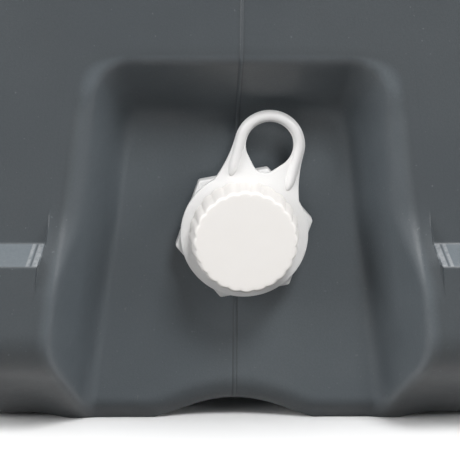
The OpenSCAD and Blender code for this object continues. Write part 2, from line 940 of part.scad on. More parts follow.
edge_steps = 3;
wall_steps = 11;
flush_zs = concat(
    [for (i = [0:edge_steps]) flush_z + foot_r * (1 - cos(90 * i / edge_steps))],
    [for (i = [0:wall_steps]) flush_grip_bot + (flush_grip_top + 3 - flush_grip_bot) * i / wall_steps],
    [for (i = [0:edge_steps]) deck - deck_r + deck_r * sin(90 * i / edge_steps)]
);
flush_flat_x = upper_x - flush_corner;
flush_flat_y = upper_y - flush_corner;
flush_ys = concat([for (i = [0:side_n]) grip_span * i / side_n], [flush_flat_y]);

module flush_hollow() {
    t = tank_wall;
    rear_xs = [-flush_flat_x, flush_flat_x];
    ring = full_ring(half_ring(upper_x, upper_y, flush_corner, rear_xs, [0, flush_flat_y]));
    function room(z) = t + flush_taper * (z - flush_z) / flush_h
        + (z < flush_z + t + over || z > deck - t - over ? foot_r : 0);
    difference() {
        loft([for (z = [flush_z + t, flush_z + t + foot_r, deck - t - deck_r, deck - t]) [
            for (s = ring) let (w = room(z)) [s[0] - w * s[2], s[1] - w * s[3], z]
        ]], 2);
        for (side = [0, 1]) mirror([side, 0, 0]) flush_grip_block(t);
    }
}

module flush_grip_block(t) {
    y = grip_half + 2 * t;
    translate([upper_x, y, 0])
        rotate([90, 0, 0])
            linear_extrude(2 * y)
                polygon([
                    [over, flush_grip_bot - 2 * t],
                    [-flush_grip_deep - flush_taper - t, flush_grip_bot + flush_grip_deep / grip_ramp - t],
                    [-flush_grip_deep - flush_taper - t, flush_grip_top],
                    [-flush_taper - t, flush_grip_top + 3 * t],
                    [over, flush_grip_top + 3 * t]
                ]);
}

// Egg outline about the seat's middle, drawn in by an amount
egg_n = 48;
function power(v, e) = sign(v) * pow(abs(v), e);
function egg(a, front, rear, inset) = [
    for (i = [0:egg_n - 1])
        let (t = 360 * i / egg_n, fwd = sin(t) >= 0, e = 2 / (fwd ? egg_front : egg_rear))
            [(a - inset) * power(cos(t), e), bowl_y + ((fwd ? front : rear) - inset) * power(sin(t), e)]
];
function oval(a, b, y, e) = [
    for (i = [0:egg_n - 1])
        let (t = 360 * i / egg_n)
            [a * power(cos(t), e), y + b * power(sin(t), e)]
];
function lift(ring, z) = [for (p = ring) [p[0], p[1], z]];

// The bowl's section at a share t of its depth, grown outward
bowl_e = 0.9;
bowl_steps = 10;
function bowl_ring(t, grow) = let (k = ramp((t - 0.06) / 0.74))
    lift(
        oval(
            bowl_a + (throat_r - bowl_a) * k + grow,
            bowl_b + (throat_r - bowl_b) * k + grow,
            bowl_y + (throat_y - bowl_y) * k,
            bowl_e + (1 - bowl_e) * k
        ),
        deck - flush_h * t
    );

module flush_tank() {
    ring = full_ring(half_ring(upper_x, upper_y, flush_corner, [-flush_flat_x, 0, flush_flat_x], flush_ys));
    rim = bowl_ring(0, bowl_wall + part_gap);
    color(slate)
        difference() {
            union() {
                loft([for (z = flush_zs) [
                    for (s = ring) let (w = flush_in(s, z)) [s[0] - w * s[2], s[1] - w * s[3], z]
                ]], len(flush_ys));
                for (side = [0, 1]) mirror([side, 0, 0]) latch_keeper();
            }
            flush_hollow();
            translate([0, 0, deck - tank_wall - over])
                linear_extrude(tank_wall + 2 * over)
                    polygon([for (p = rim) [p[0], p[1]]]);
            translate([0, throat_y, flush_z - over])
                cylinder(h = tank_wall + 2 * over, r = spigot_r + run_gap);
            translate([pump_x, -pump_y, deck - tank_wall - over])
                cylinder(h = tank_wall + 2 * over, r = barrel_r + run_gap);
            translate([-pump_x, -pump_y, deck - tank_wall - over])
                cylinder(h = tank_wall + 2 * over, r = fill_r + run_gap);
        }
}

// Ridge on the flush tank that a closed latch hooks over
module latch_keeper() {
    half = latch_w / 2 + 3;
    translate([keeper_out - keeper_h, half, keeper_top - keeper_h])
        rotate([90, 0, 0])
            linear_extrude(2 * half)
                polygon([
                    [0, 0],
                    [keeper_h - 2, 0],
                    [keeper_h, 3],
                    [keeper_h, keeper_h],
                    [0, keeper_h]
                ]);
}

module bowl() {
    flange = [
        lift([for (p = bowl_ring(0, bowl_wall + flange_w)) [p[0], p[1]]], deck),
        lift([for (p = bowl_ring(0, bowl_wall + flange_w)) [p[0], p[1]]], deck + flange_h * 0.6),
        lift([for (p = bowl_ring(0, bowl_wall + flange_w - 2)) [p[0], p[1]]], deck + flange_h),
        lift([for (p = bowl_ring(0, 1)) [p[0], p[1]]], deck + flange_h)
    ];
    outer = [for (i = [bowl_steps:-1:0]) bowl_ring(i / bowl_steps, bowl_wall)];
    inner = [for (i = [0:bowl_steps]) bowl_ring(i / bowl_steps, 0)];
    color(white)
        difference() {
            loft_loop(concat(outer, flange, inner));
            aim_pump(nozzle_at - nozzle_r) cylinder(h = 4 * nozzle_r, r = nozzle_r + run_gap);
        }
}

// Places children on the line from the pump to the bowl's middle
module aim_pump(along) {
    translate([pump_x, -pump_y, tube_z])
        rotate([0, 0, aim_a])
            translate([along, 0, 0])
                rotate([0, 90, 0])
                    children();
}

// Hinge, seat and lid

module hinge_bracket() {
    plate_rear = hinge_y - knuckle_r - 2;
    plate_l = 2 * knuckle_r + plate_fore;
    color(white)
        difference() {
            union() {
                translate([-plate_half, plate_rear, deck])
                    cube([2 * plate_half, plate_l, plate_t]);
                for (x = [-ear_in - ear_t, ear_in]) {
                    translate([x, hinge_y - knuckle_r, deck])
                        cube([ear_t, 2 * knuckle_r, hinge_z - deck]);
                    translate([x, hinge_y, hinge_z])
                        rotate([0, 90, 0])
                            cylinder(h = ear_t, r = knuckle_r);
                }
            }
            translate([-plate_half - over, hinge_y, hinge_z])
                rotate([0, 90, 0])
                    cylinder(h = 2 * plate_half + 2 * over, r = pin_r);
            for (x = [-hinge_screw_x, hinge_screw_x])
                translate([x, hinge_screw_y, deck - over])
                    cylinder(h = plate_t + 2 * over, r = screw_r + run_gap);
        }
}

hinge_screw_x = 10;
hinge_screw_y = hinge_y + knuckle_r + 6;

module hinge_screws() {
    color(steel)
        for (x = [-hinge_screw_x, hinge_screw_x])
            translate([x, hinge_screw_y, deck + plate_t])
                pan_screw(screw_r, screw_head_r, screw_head_h, plate_t);
}

module hinge_pin() {
    color(steel)
        translate([-pin_half, hinge_y, hinge_z])
            rotate([0, 90, 0])
                cylinder(h = 2 * pin_half, r = pin_r);
}

// A knuckle between two x values with an arm reaching forward
module knuckle(x0, x1, arm_z, arm_t, reach) {
    translate([x0, hinge_y, hinge_z])
        rotate([0, 90, 0])
            cylinder(h = x1 - x0, r = knuckle_r);
    translate([x0, hinge_y, arm_z])
        cube([x1 - x0, reach, arm_t]);
}

module hinge_bore(x0, x1) {
    translate([x0 - over, hinge_y, hinge_z])
        rotate([0, 90, 0])
            cylinder(h = x1 - x0 + 2 * over, r = pin_r + run_gap);
}

// A point of the seat's section: share u from the hole to the outer edge, and a height
function seat_point(inner, outer, u, z) = [
    inner[0] + (outer[0] - inner[0]) * u,
    inner[1] + (outer[1] - inner[1]) * u,
    seat_z + z
];

module seat() {
    inner = oval(hole_a, hole_b, bowl_y, 2 / egg_front);
    outer = egg(seat_a, seat_front, seat_rear, 0);
    section = [
        [0.03, 0.22], [0.1, 0.02], [0.9, 0.02], [0.97, 0.22], [1, 0.5],
        [0.96, 0.78], [0.86, 0.93], [0.62, 1], [0.34, 0.98], [0.14, 0.86], [0.03, 0.68], [0, 0.45]
    ];
    rings = [for (q = section) [
        for (i = [0:egg_n - 1]) seat_point(inner[i], outer[i], q[0], q[1] * seat_t)
    ]];
    arm = 40;
    arm_t = 7;
    color(white)
        difference() {
            union() {
                loft_loop(rings);
                for (x = [-lug_in - lug_t, lug_in])
                    knuckle(x, x + lug_t, hinge_z - arm_t, arm_t, arm);
            }
            for (x = [-lug_in - lug_t, lug_in]) hinge_bore(x, x + lug_t);
            for (p = buffer_spots, side = [-1, 1])
                translate([side * p[0], p[1], seat_z - over])
                    cylinder(h = buffer_tuck + over, r = buffer_r);
        }
}

module seat_buffers() {
    color(rubber)
        for (p = buffer_spots, side = [-1, 1])
            translate([side * p[0], p[1], deck + part_gap])
                cylinder(h = buffer_h - part_gap + buffer_tuck, r = buffer_r);
}

module lid() {
    g = -lid_grow;
    rise = [
        [lid_wall + dome_in, lid_h - lid_wall],
        [lid_wall + dome_bend, lid_h - lid_wall - dome_drop],
        [lid_wall + dome_edge, lid_h - lid_wall - dome_r],
        [lid_wall, -lid_skirt],
        [0, -lid_skirt],
        [0, lid_h - dome_r - lid_wall],
        [dome_edge, lid_h - dome_r + dome_drop],
        [dome_bend, lid_h - dome_drop],
        [dome_in, lid_h]
    ];
    arm_t = 6;
    half = ear_in - part_gap;
    notch = lug_t + 2 * part_gap;
    skirt_z = lid_z - lid_skirt - over;
    color(slate)
        difference() {
            union() {
                difference() {
                    loft([for (q = rise) lift(egg(seat_a, seat_front, seat_rear, g + q[0]), lid_z + q[1])]);
                    // The seat's two arms pass under the skirt
                    for (side = [-1, 1])
                        translate([side * (lug_in + lug_t / 2) - notch / 2, hinge_y, skirt_z])
                            cube([notch, 4 * knuckle_r, hinge_z + part_gap - skirt_z]);
                }
                knuckle(-half, half, lid_z, arm_t, -hinge_y - seat_rear + bowl_y + 2 * lid_wall);
            }
            hinge_bore(-half, half);
            lid_studs();
        }
}

module lid_studs() {
    for (p = lid_spots, side = [-1, 1])
        translate([side * p[0], p[1], seat_top + part_gap])
            cylinder(h = lid_z + lid_h - lid_wall - seat_top - part_gap, r = buffer_r);
}

module lid_buffers() {
    color(rubber) lid_studs();
}

// Pump

module at_pump(z) {
    translate([pump_x, -pump_y, z]) children();
}

module pump_barrel() {
    color(white)
        difference() {
            at_pump(deck - barrel_l) cylinder(h = barrel_l, r = barrel_r);
            at_pump(deck - barrel_l - over) cylinder(h = barrel_l + 2 * over, r = barrel_in);
            aim_pump(0) cylinder(h = 2 * barrel_r, r = tube_in);
        }
}

module pump_collar() {
    lip = 1.5;
    color(white)
        at_pump(deck)
            difference() {
                rotate_extrude()
                    polygon([
                        [0, 0],
                        [collar_r, 0],
                        [collar_r, collar_h - lip],
                        [collar_r - lip, collar_h],
                        [0, collar_h]
                    ]);
                translate([0, 0, -over]) cylinder(h = collar_h + 2 * over, r = rod_r + run_gap);
            }
}

module pump_rod() {
    color(steel)
        at_pump(piston_z) cylinder(h = knob_z + knob_h / 2 - piston_z, r = rod_r);
}

module pump_piston() {
    color(white)
        at_pump(piston_z - piston_h / 2)
            difference() {
                cylinder(h = piston_h, r = barrel_in - piston_gap);
                translate([0, 0, piston_h / 2]) cylinder(h = piston_h, r = rod_r);
                translate([0, 0, (piston_h - groove_h) / 2])
                    difference() {
                        cylinder(h = groove_h, r = barrel_in);
                        cylinder(h = groove_h, r = barrel_in - piston_gap - groove_d);
                    }
            }
}

module pump_seal() {
    color(rubber)
        at_pump(piston_z - groove_h / 2)
            difference() {
                cylinder(h = groove_h, r = barrel_in - run_gap);
                translate([0, 0, -over])
                    cylinder(h = groove_h + 2 * over, r = barrel_in - piston_gap - groove_d);
            }
}

module pump_knob() {
    waist = 0.62;
    color(white)
        at_pump(knob_z)
            difference() {
                rotate_extrude()
                    polygon([
                        [0, 0], [knob_r * waist + 2, 0],
                        [knob_r * waist, 2], [knob_r * waist, knob_h * 0.4],
                        [knob_r - 1, knob_h * 0.55], [knob_r, knob_h * 0.68], [knob_r, knob_h * 0.8],
                        [knob_r - 1.2, knob_h * 0.92], [knob_r - 4, knob_h], [0, knob_h]
                    ]);
                translate([0, 0, -over]) cylinder(h = knob_h / 2 + over, r = rod_r);
            }
}

module pump_strainer() {
    slots = 10;
    slot_w = 3;
    floor_t = 2;
    color(white)
        at_pump(deck - barrel_l - strainer_h)
            difference() {
                cylinder(h = strainer_h, r = barrel_r);
                translate([0, 0, floor_t]) cylinder(h = strainer_h, r = barrel_in);
                for (k = [0:slots - 1])
                    rotate(360 * k / slots)
                        translate([0, -slot_w / 2, floor_t + 1])
                            cube([2 * barrel_r, slot_w, strainer_h - floor_t - 4]);
            }
}

module flush_tube() {
    color(rubber)
        difference() {
            aim_pump(0) cylinder(h = nozzle_at - nozzle_r, r = tube_r);
            aim_pump(-over) cylinder(h = aim_l, r = tube_in);
            at_pump(deck - barrel_l) cylinder(h = barrel_l, r = barrel_r);
        }
}

module flush_nozzle() {
    tip = 8;
    color(white)
        aim_pump(nozzle_at - nozzle_r)
            difference() {
                union() {
                    cylinder(h = 2 * nozzle_r + tip, r = nozzle_r);
                    translate([0, 0, 2 * nozzle_r + tip]) sphere(nozzle_r);
                }
                translate([0, 0, -over]) cylinder(h = 2 * nozzle_r + tip, r = tube_in);
                translate([-2 * nozzle_r, -nozzle_r / 2, 2 * nozzle_r + 2])
                    cube([2 * nozzle_r, nozzle_r, tip]);
            }
}

// Fill opening

module at_fill(z) {
    translate([-pump_x, -pump_y, z]) children();
}

module fill_neck() {
    color(white)
        at_fill(deck - fill_down)
            difference() {
                union() {
                    cylinder(h = fill_down + fill_up, r = fill_r);
                    translate([0, 0, fill_down]) cylinder(h = fill_flange_h, r = fill_flange_r);
                }
                translate([0, 0, -over]) cylinder(h = fill_down + fill_up + 2 * over, r = fill_bore);
            }
}

module fill_seal() {
    color(rubber) at_fill(fill_seal_z) cylinder(h = seal_t, r = fill_r - run_gap);
}

module fill_cap() {
    color(white)
        at_fill(fill_cap_z)
            ribbed_cap(fill_cap_h, fill_cap_r, fill_cap_r - 1, fill_r + run_gap, fill_cap_top, 0);
}

waste_tank();
outlet_fitting();
outlet_gasket();
outlet_nut();
cap_ring();
drain_seal();
drain_cap();
valve_base();
valve_cover();
valve_seal();
valve_screws();
valve_blade();
valve_handle();
latch_brackets();
latch_pins();
left_latch();
right_latch();
flush_tank();
bowl();
hinge_bracket();
hinge_pin();
hinge_screws();
seat();
seat_buffers();
lid();
lid_buffers();
pump_barrel();
pump_collar();
pump_rod();
pump_piston();
pump_seal();
pump_knob();
pump_strainer();
flush_tube();
flush_nozzle();
fill_neck();
fill_seal();
fill_cap();
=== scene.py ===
import math

import bmesh
import bpy
import numpy as np
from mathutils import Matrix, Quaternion, Vector


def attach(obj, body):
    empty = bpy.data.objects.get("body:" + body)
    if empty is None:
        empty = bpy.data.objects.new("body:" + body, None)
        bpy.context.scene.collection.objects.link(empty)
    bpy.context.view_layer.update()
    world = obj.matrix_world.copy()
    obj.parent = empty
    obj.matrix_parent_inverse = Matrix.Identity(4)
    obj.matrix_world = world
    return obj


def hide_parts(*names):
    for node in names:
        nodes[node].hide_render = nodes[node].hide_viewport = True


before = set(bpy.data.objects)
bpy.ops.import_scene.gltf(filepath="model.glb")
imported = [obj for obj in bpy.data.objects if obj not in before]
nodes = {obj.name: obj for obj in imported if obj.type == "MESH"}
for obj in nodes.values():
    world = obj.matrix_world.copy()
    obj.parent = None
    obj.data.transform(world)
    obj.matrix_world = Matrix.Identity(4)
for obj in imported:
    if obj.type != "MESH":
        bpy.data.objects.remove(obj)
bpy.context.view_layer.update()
MM = 0.001

# Sizes in millimetres, as in the part's source. The niche, its margin, the keel and the ends of
# the loop's bead were fitted to the photograph once more, by a few millimetres.
TANK_X, TANK_Y, CORNER_R = 183.0, 210.0, 72.0
WASTE_H, WALL = 226.0, 4.0
LEDGE_Z, LEDGE_RISE, LEDGE_IN, LEDGE_BLEND = 85.6, 8.7, 10.0, 0.8
LEDGE_TOP = LEDGE_Z + LEDGE_RISE
KEEL_H, KEEL_RUN, KEEL_BLEND, TOP_R = 43.0, 56.0, 16.0, 12.0
NICHE_HALF, NICHE_LEAN, NICHE_DRAFT = 92.3, 0.13, 0.45
NICHE_TOP, NICHE_ROOF, NICHE_DEEP = 185.2, 1.22, 50.0
NICHE_KB, NICHE_KE = 10.5, 2.6
NICHE_KC_OUT, NICHE_KC_IN = 44.0, 18.0
MOUTH_LOW, MOUTH_HIGH, MOUTH_Z, MOUTH_SPAN = 5.0, 17.0, 75.0, 35.0
MOUTH_FADE_AT, MOUTH_FADE = 10.0, 30.0
SILL_H, SILL_RISE, SILL_BLEND = 9.0, 6.5, 2.0
PANEL_HALF = NICHE_HALF - NICHE_DRAFT * (NICHE_DEEP + NICHE_KB)
MARGIN_W, MARGIN_TOP, MARGIN_DEEP, MARGIN_ROUND = 9.0, 7.0, 0.8, 3.0
SLOPE_LOW, SLOPE_H, SLOPE_END, LEDGE_SLANT = LEDGE_Z - 18.1, 45.0, 0.6, 0.5
ARCH_H, ARCH_HALF, ARCH_POWER = 9.6, 37.5, 1.2
SKID_OUT, SKID_RELIEF, SKID_FADE = 74.0, 3.0, 20.0
UPPER_X, UPPER_Y = TANK_X - LEDGE_IN, TANK_Y - LEDGE_IN
UPPER_CORNER = CORNER_R - LEDGE_IN
GRIP_HALF, GRIP_DEEP, GRIP_BLEND = 66.0, 26.0, 12.0
GRIP_SIDE, GRIP_ROOF, GRIP_RAMP = 1.4, 3.0, 0.62
GRIP_BOT = LEDGE_TOP + 3
GRIP_TOP = GRIP_BOT + 54
SEAM_HIGH, SEAM_WIDE = 0.4, 0.5
GROOVE_DEEP, GROOVE_AT, GROOVE_WIDE = 0.16, 1.1, 0.4
RUN, GAP = 0.06, 0.4

OUT_X, OUT_Z = 3.2, 92.5
PANEL = TANK_Y - NICHE_DEEP
NECK_R = 20.9
NUT_R, NUT_H, NUT_TURN = 31.9, 6.5, 10.8
BOSS_R, BOSS_H, BOSS_TUCK = NUT_R * math.cos(math.pi / 6) - 1.2, 5.0, 4.0
NUT_LVL = PANEL + BOSS_H
RING_R, RING_T = 29.1, 2.6
RING_LVL = NUT_LVL + NUT_H + GAP
LOOP_LEAN, LOOP_REACH, LOOP_HOLE, LOOP_BAR = 15.0, 42.8, 10.8, 5.2
LOOP_LEG, BEAD_SINK, BEAD_RUNOUT, BEAD_TURNS = 11.5, 0.25, 2.8, (84, 66, 48, 30, 14)
CAP_LVL = RING_LVL + RING_T + GAP
CAP_H, CAP_R, CAP_FACE_R, CAP_TOP_T = 16.0, 25.1, 23.4, 3.0
CAP_RIBS, RIB_ROUND, RIB_TURN = 24, 5.4, 16.8

THROAT_R, THROAT_Y = 44.0, 15.0
CHAN_HALF, CHAN_R = 82.0, 8.0
CHAN_REAR = THROAT_Y - THROAT_R - 38
LIP_H, COVER_T, BASE_T, BLADE_T = 6.0, 4.0, 5.0, 4.0
BLADE_ROOM = BLADE_T + 2 * GAP
CHAN_FLOOR = WASTE_H - LIP_H - COVER_T - BLADE_ROOM - BASE_T
BLADE_Z = CHAN_FLOOR + BASE_T + GAP
HANDLE_Y, HANDLE_L, GRIP_BAR = UPPER_Y - 14, 96.0, 8.0
HANDLE_Z = BLADE_Z + BLADE_T / 2
NECK_HALF, NECK_TUCK = 30.0, 4.0
SCOOP_R, SCOOP_L = 26.0, 124.0

FLUSH_Z, FLUSH_H, FLUSH_TAPER = WASTE_H + GAP, 158.0, 8.0
FOOT_R, DECK_R = 8.0, 14.0
DECK = FLUSH_Z + FLUSH_H
FLUSH_GRIP_BOT, FLUSH_GRIP_DEEP = FLUSH_Z + 62, 20.0
FLUSH_GRIP_TOP = FLUSH_GRIP_BOT + 48
BOWL_A, BOWL_B, BOWL_Y, BOWL_WALL = 112.0, 118.0, 38.0, 3.5
BOWL_LIP, BOWL_FALL, BOWL_POWER = 0.06, 0.74, 0.9
FLANGE_H, FLANGE_W = 3.0, 11.0
NOZZLE_R, NOZZLE_DROP = 9.0, 24.0
SPIGOT_R = THROAT_R + BOWL_WALL

SEAT_A, SEAT_FRONT, SEAT_REAR = 155.0, 150.0, 186.0
HOLE_A, HOLE_B, SEAT_T = 98.0, 110.0, 16.0
EGG_FRONT, EGG_REAR = 2.3, 1.9
SEAT_Z = DECK + 8
SEAT_TOP = SEAT_Z + SEAT_T
HINGE_Y, HINGE_Z = -(SEAT_REAR - BOWL_Y + 18), SEAT_TOP
KNUCKLE_R, PIN_R = 8.0, 3.5
EAR_IN, EAR_T, LUG_T = 18.0, 9.0, 8.5
LUG_IN, LUG_DROP, LUG_REACH = EAR_IN + EAR_T + GAP, 7.0, 40.0
HINGE_FOOT_HALF, HINGE_FOOT_T, HINGE_FOOT_REAR, HINGE_FOOT_FRONT = 30.0, 4.0, 2.0, 12.0
LID_Z, LID_H, LID_WALL, LID_SKIRT = SEAT_TOP + 2.5, 20.0, 3.0, 7.0
LID_GROW, LID_ARM_T = LID_WALL + 2.6, 6.0

PUMP_X, PUMP_Y, BARREL_R, ROD_R = 112.0, 140.0, 19.0, 5.0
COLLAR_R, COLLAR_H, KNOB_R, KNOB_H = 23.0, 6.0, 18.0, 20.0
KNOB_Z = DECK + COLLAR_H + GAP
FILL_R, FILL_UP, FILL_FLANGE_H, FILL_CAP_TOP_T, SEAL_T = 19.9, 14.0, 2.5, 2.5, 1.5
FILL_CAP_R, FILL_CAP_Z = FILL_R + 5, DECK + FILL_FLANGE_H + GAP
FILL_CAP_H = FILL_UP + SEAL_T + FILL_CAP_TOP_T - FILL_FLANGE_H - GAP

LATCH_W, LATCH_L, LATCH_T, LATCH_PIN = 42.0, 50.0, 3.5, 2.5
LATCH_Z, LATCH_X, LATCH_KNUCKLE = WASTE_H - 26, UPPER_X + 6.2, 5.0
LATCH_LIP, LATCH_LIP_T = 5.0, 4.0
KEEPER_TOP = LATCH_Z + LATCH_L - LATCH_LIP_T - GAP
KEEPER_H, KEEPER_OUT = 8.0, LATCH_X - LATCH_T / 2 - 1.6

# Blocks carved out of the tanks, in plan; the hollow isn't seen
TANK_CORE = [(-130, -120), (-62, -155), (62, -155), (130, -120), (130, 150), (-130, 150)]
TANK_CORE_Z, LANE_END = 46.0, 230.0
FLUSH_CORE = [(-135, -175), (135, -175), (135, 175), (-135, 175)]

# How far the other cutters overshoot
CUT, LANE_CUT, HOLE_CUT_OUT, HOLE_CUT_IN = 2.0, 5.0, 8.0, 10.0

# Steps of the meshes
CORNER_STEPS, CROWN_STEPS, FOOT_STEPS, OVAL_STEPS, BOWL_STEPS = 18, 10, 8, 144, 41
SEAM_XS = np.array([0.25, 0.5, 0.8, 1.1, 1.4, 1.9])
# Lengths that count as nothing: two in millimetres, and the last in metres
HAIR, TINY, WELD = 0.01, 1e-6, 2e-6
# Rounding of the edges (mm), and the angles (degrees) from which edges are rounded or stay sharp
EDGE_FOOT, EDGE_KNUCKLE, EDGE_LEVER, EDGE_NUT, EDGE_RING = 0.9, 0.8, 0.7, 0.6, 0.45
EASE_STEPS, EASE_ANGLE = 3, 35.0
SHARP, SHARP_TANK, SHARP_LEVER, SHARP_RING, SHARP_CAP = 35.0, 38.0, 40.0, 45.0, 50.0


def soft_max(a, b, k):
    h = np.maximum(k - np.abs(a - b), 0) / k
    return np.maximum(a, b) + h * h * k / 4


def soft_min(a, b, k):
    return -soft_max(-a, -b, k)


def ramp(t):
    u = np.clip(t, 0, 1)
    return u * u * (3 - 2 * u)


def grid(a, b, step):
    return np.linspace(a, b, max(2, int(round((b - a) / step)) + 1))


# Materials

# Tones of the slate plastic, and how pale it is outside the niche, inside it and on the ledge:
# the paler niche is painted light, and the paler ledge is wear and painted light on its upward face
SLATE_TONES = (0.094, 0.108, 0.118), (0.083, 0.097, 0.108), (0.066, 0.078, 0.087)
SLATE_OUT, SLATE_LIT_NICHE, SLATE_WORN_LIT_LEDGE = 0.59, 1.0, 1.3
INSERT_SHADE_TONE, LEDGE_DARK_TONE = (0.045, 0.053, 0.059), (0.05, 0.057, 0.062)
RUBBED_TONE, SPECK_TONE = (0.27, 0.28, 0.29), (0.30, 0.32, 0.33)
PARTING_DARK_TONE = (0.036, 0.042, 0.047)

# Fine marks beside the niche (mm): place from the margin's edge, half width in full, half width
# INSERT_LINE places a dark line of painted shade along the margin's outer edge
INSERT_LINE, LEDGE_DARK_LINE = (0.0, 0.1, 0.5), (-2.9, 0.15, 0.45)
RUBBED_BANDS = (-1.2, 0.8, 1.4), (-4.4, 0.4, 1.0)
INSERT_RISE, INSERT_FALL, LEDGE_TONE_FADE = (96.0, 100.0), (165.0, 185.0), 0.6
# The niche's painted light (its paler tone): the roof's weight, and rounding and fade in metres
ROOF_WEIGHT, TONE_ROUND, TONE_FADE = 4.0, 0.09, (-0.015, -0.002)
# Darker bands beside the parting line (mm)
PARTING_DARK_AT, PARTING_DARK_CORE, PARTING_DARK_END = 0.9, 0.1, 0.5
WHITE_WORN, SCUFF_SHADE = (0.955, 0.95, 0.94), 0.86


class Nodes:
    """Shorthand for building one procedural material."""

    def __init__(self, name):
        self.mat = bpy.data.materials.new(name)
        self.mat.use_nodes = True
        self.tree = self.mat.node_tree
        self.bsdf = self.tree.nodes["Principled BSDF"]
        self.coord = self.tree.nodes.new("ShaderNodeTexCoord").outputs["Object"]

    def link(self, a, b):
        self.tree.links.new(a, b)

    def put(self, sock, value):
        if isinstance(value, bpy.types.NodeSocket):
            self.link(value, sock)
        else:
            sock.default_value = value

    def stretch(self, scale):
        n = self.tree.nodes.new("ShaderNodeMapping")
        n.inputs["Scale"].default_value = scale
        self.link(self.coord, n.inputs["Vector"])
        return n.outputs["Vector"]

    def noise(self, scale, detail=2.0, rough=0.5, coord=None):
        n = self.tree.nodes.new("ShaderNodeTexNoise")
        self.link(coord or self.coord, n.inputs["Vector"])
        n.inputs["Scale"].default_value = scale
        n.inputs["Detail"].default_value = detail
        n.inputs["Roughness"].default_value = rough
        return n.outputs["Fac"]

    def span(self, fac, a, b, lo=0.0, hi=1.0):
        n = self.tree.nodes.new("ShaderNodeMapRange")
        n.interpolation_type = "SMOOTHSTEP"
        self.put(n.inputs["Value"], fac)
        n.inputs["From Min"].default_value = a
        n.inputs["From Max"].default_value = b
        n.inputs["To Min"].default_value = lo
        n.inputs["To Max"].default_value = hi
        return n.outputs["Result"]

    def math(self, op, a, b=0.0, c=0.0):
        n = self.tree.nodes.new("ShaderNodeMath")
        n.operation = op
        for sock, value in zip(n.inputs, (a, b, c)):
            self.put(sock, value)
        return n.outputs[0]

    def mix(self, fac, a, b):
        n = self.tree.nodes.new("ShaderNodeMix")
        n.data_type = "RGBA"
        self.put(n.inputs["Factor"], fac)
        ends = [s for s in n.inputs if s.type == "RGBA"]
        for sock, value in zip(ends, (a, b)):
            self.put(sock, value if isinstance(value, bpy.types.NodeSocket) else (*value, 1.0))
        return [s for s in n.outputs if s.type == "RGBA"][0]

    def xyz(self):
        n = self.tree.nodes.new("ShaderNodeSeparateXYZ")
        self.link(self.coord, n.inputs[0])
        return n.outputs

    def bump(self, height, strength, distance, below=None):
        n = self.tree.nodes.new("ShaderNodeBump")
        n.inputs["Strength"].default_value = strength
        n.inputs["Distance"].default_value = distance
        self.link(height, n.inputs["Height"])
        if below is not None:
            self.link(below, n.inputs["Normal"])
        return n.outputs["Normal"]

    def over(self, base, mask, share, tone):
        """Lays a share of a tone over the base colour where the mask is."""
        return self.mix(self.math("MULTIPLY", mask, share), base, tone)

    def dress(self, colour, rough, normal):
        for name, sock in (("Base Color", colour), ("Roughness", rough), ("Normal", normal)):
            self.link(sock, self.bsdf.inputs[name])
        return self.mat


def niche_marks(n):
    """Where a point of the tank lies, as masks: inside the niche (painted light), on the
    mould insert's line beside it (painted shade), on the ledge's end (wear and painted light),
    and on its rubbed bands and dark lines."""
    x, y, z = n.xyz()
    deep = n.math("ADD", y, TANK_Y * MM)
    half = n.math("MULTIPLY_ADD", z, -NICHE_LEAN, NICHE_HALF * MM)
    side = n.math("MULTIPLY", n.math("SUBTRACT", half, n.math("ABSOLUTE", x)), 1 / NICHE_DRAFT)
    over = n.math("MULTIPLY_ADD", z, -NICHE_ROOF, NICHE_TOP * NICHE_ROOF * MM)
    past_side = n.math("SUBTRACT", side, deep)
    past_roof = n.math("MULTIPLY", n.math("SUBTRACT", over, deep), ROOF_WEIGHT)
    # Painted light: paler inside the niche, with a painted highlight over its mouth edges
    lit_niche = n.span(n.math("SMOOTH_MIN", past_side, past_roof, TONE_ROUND), *TONE_FADE)
    slanted = n.math("MULTIPLY_ADD", deep, -LEDGE_SLANT, side)
    inward = n.math("MULTIPLY_ADD", slanted, NICHE_DRAFT, MARGIN_W * MM)

    def near(at, core, end):
        away = n.math("ABSOLUTE", n.math("SUBTRACT", inward, at * MM))
        return n.span(away, core * MM, end * MM, 1.0, 0.0)

    def between(rise, fall):
        up = n.span(z, rise[0] * MM, rise[1] * MM)
        return n.math("MULTIPLY", n.span(z, fall[0] * MM, fall[1] * MM, 1.0, 0.0), up)

    # Painted shade: a dark line along the margin's outer edge, where the insert's small step is
    line = n.math("MULTIPLY", near(*INSERT_LINE), between(INSERT_RISE, INSERT_FALL))
    # Wear and painted light: the ledge's upward face outside the niche is drawn paler
    on_ledge = between((LEDGE_Z, LEDGE_Z + LEDGE_TONE_FADE), (LEDGE_TOP - LEDGE_TONE_FADE, LEDGE_TOP))
    worn = n.math("MULTIPLY", on_ledge, n.span(inward, 0.0, LEDGE_TONE_FADE * MM, 1.0, 0.0))
    rubbed = n.math("MAXIMUM", *(near(*band) for band in RUBBED_BANDS))
    rubbed = n.math("MULTIPLY", rubbed, n.span(n.noise(420.0, 3.0, 0.7), 0.3, 0.6, 0.35, 1.0))
    # A darker line on the ledge beside the niche
    ledge_dark = near(*LEDGE_DARK_LINE)
    return lit_niche, line, worn, n.math("MULTIPLY", rubbed, worn), n.math("MULTIPLY", ledge_dark, worn)


def parting(n):
    """Darker bands in the grooves either side of the parting line."""
    off = n.math("SUBTRACT", n.math("ABSOLUTE", n.xyz()["X"]), PARTING_DARK_AT * MM)
    return n.span(n.math("ABSOLUTE", off), PARTING_DARK_CORE * MM, PARTING_DARK_END * MM, 1.0, 0.0)


def slate_tone(n, patch, grain, k):
    pale, deep, dark = (tuple(c * k for c in t) for t in SLATE_TONES)
    return n.mix(grain, n.mix(patch, deep, pale), dark)


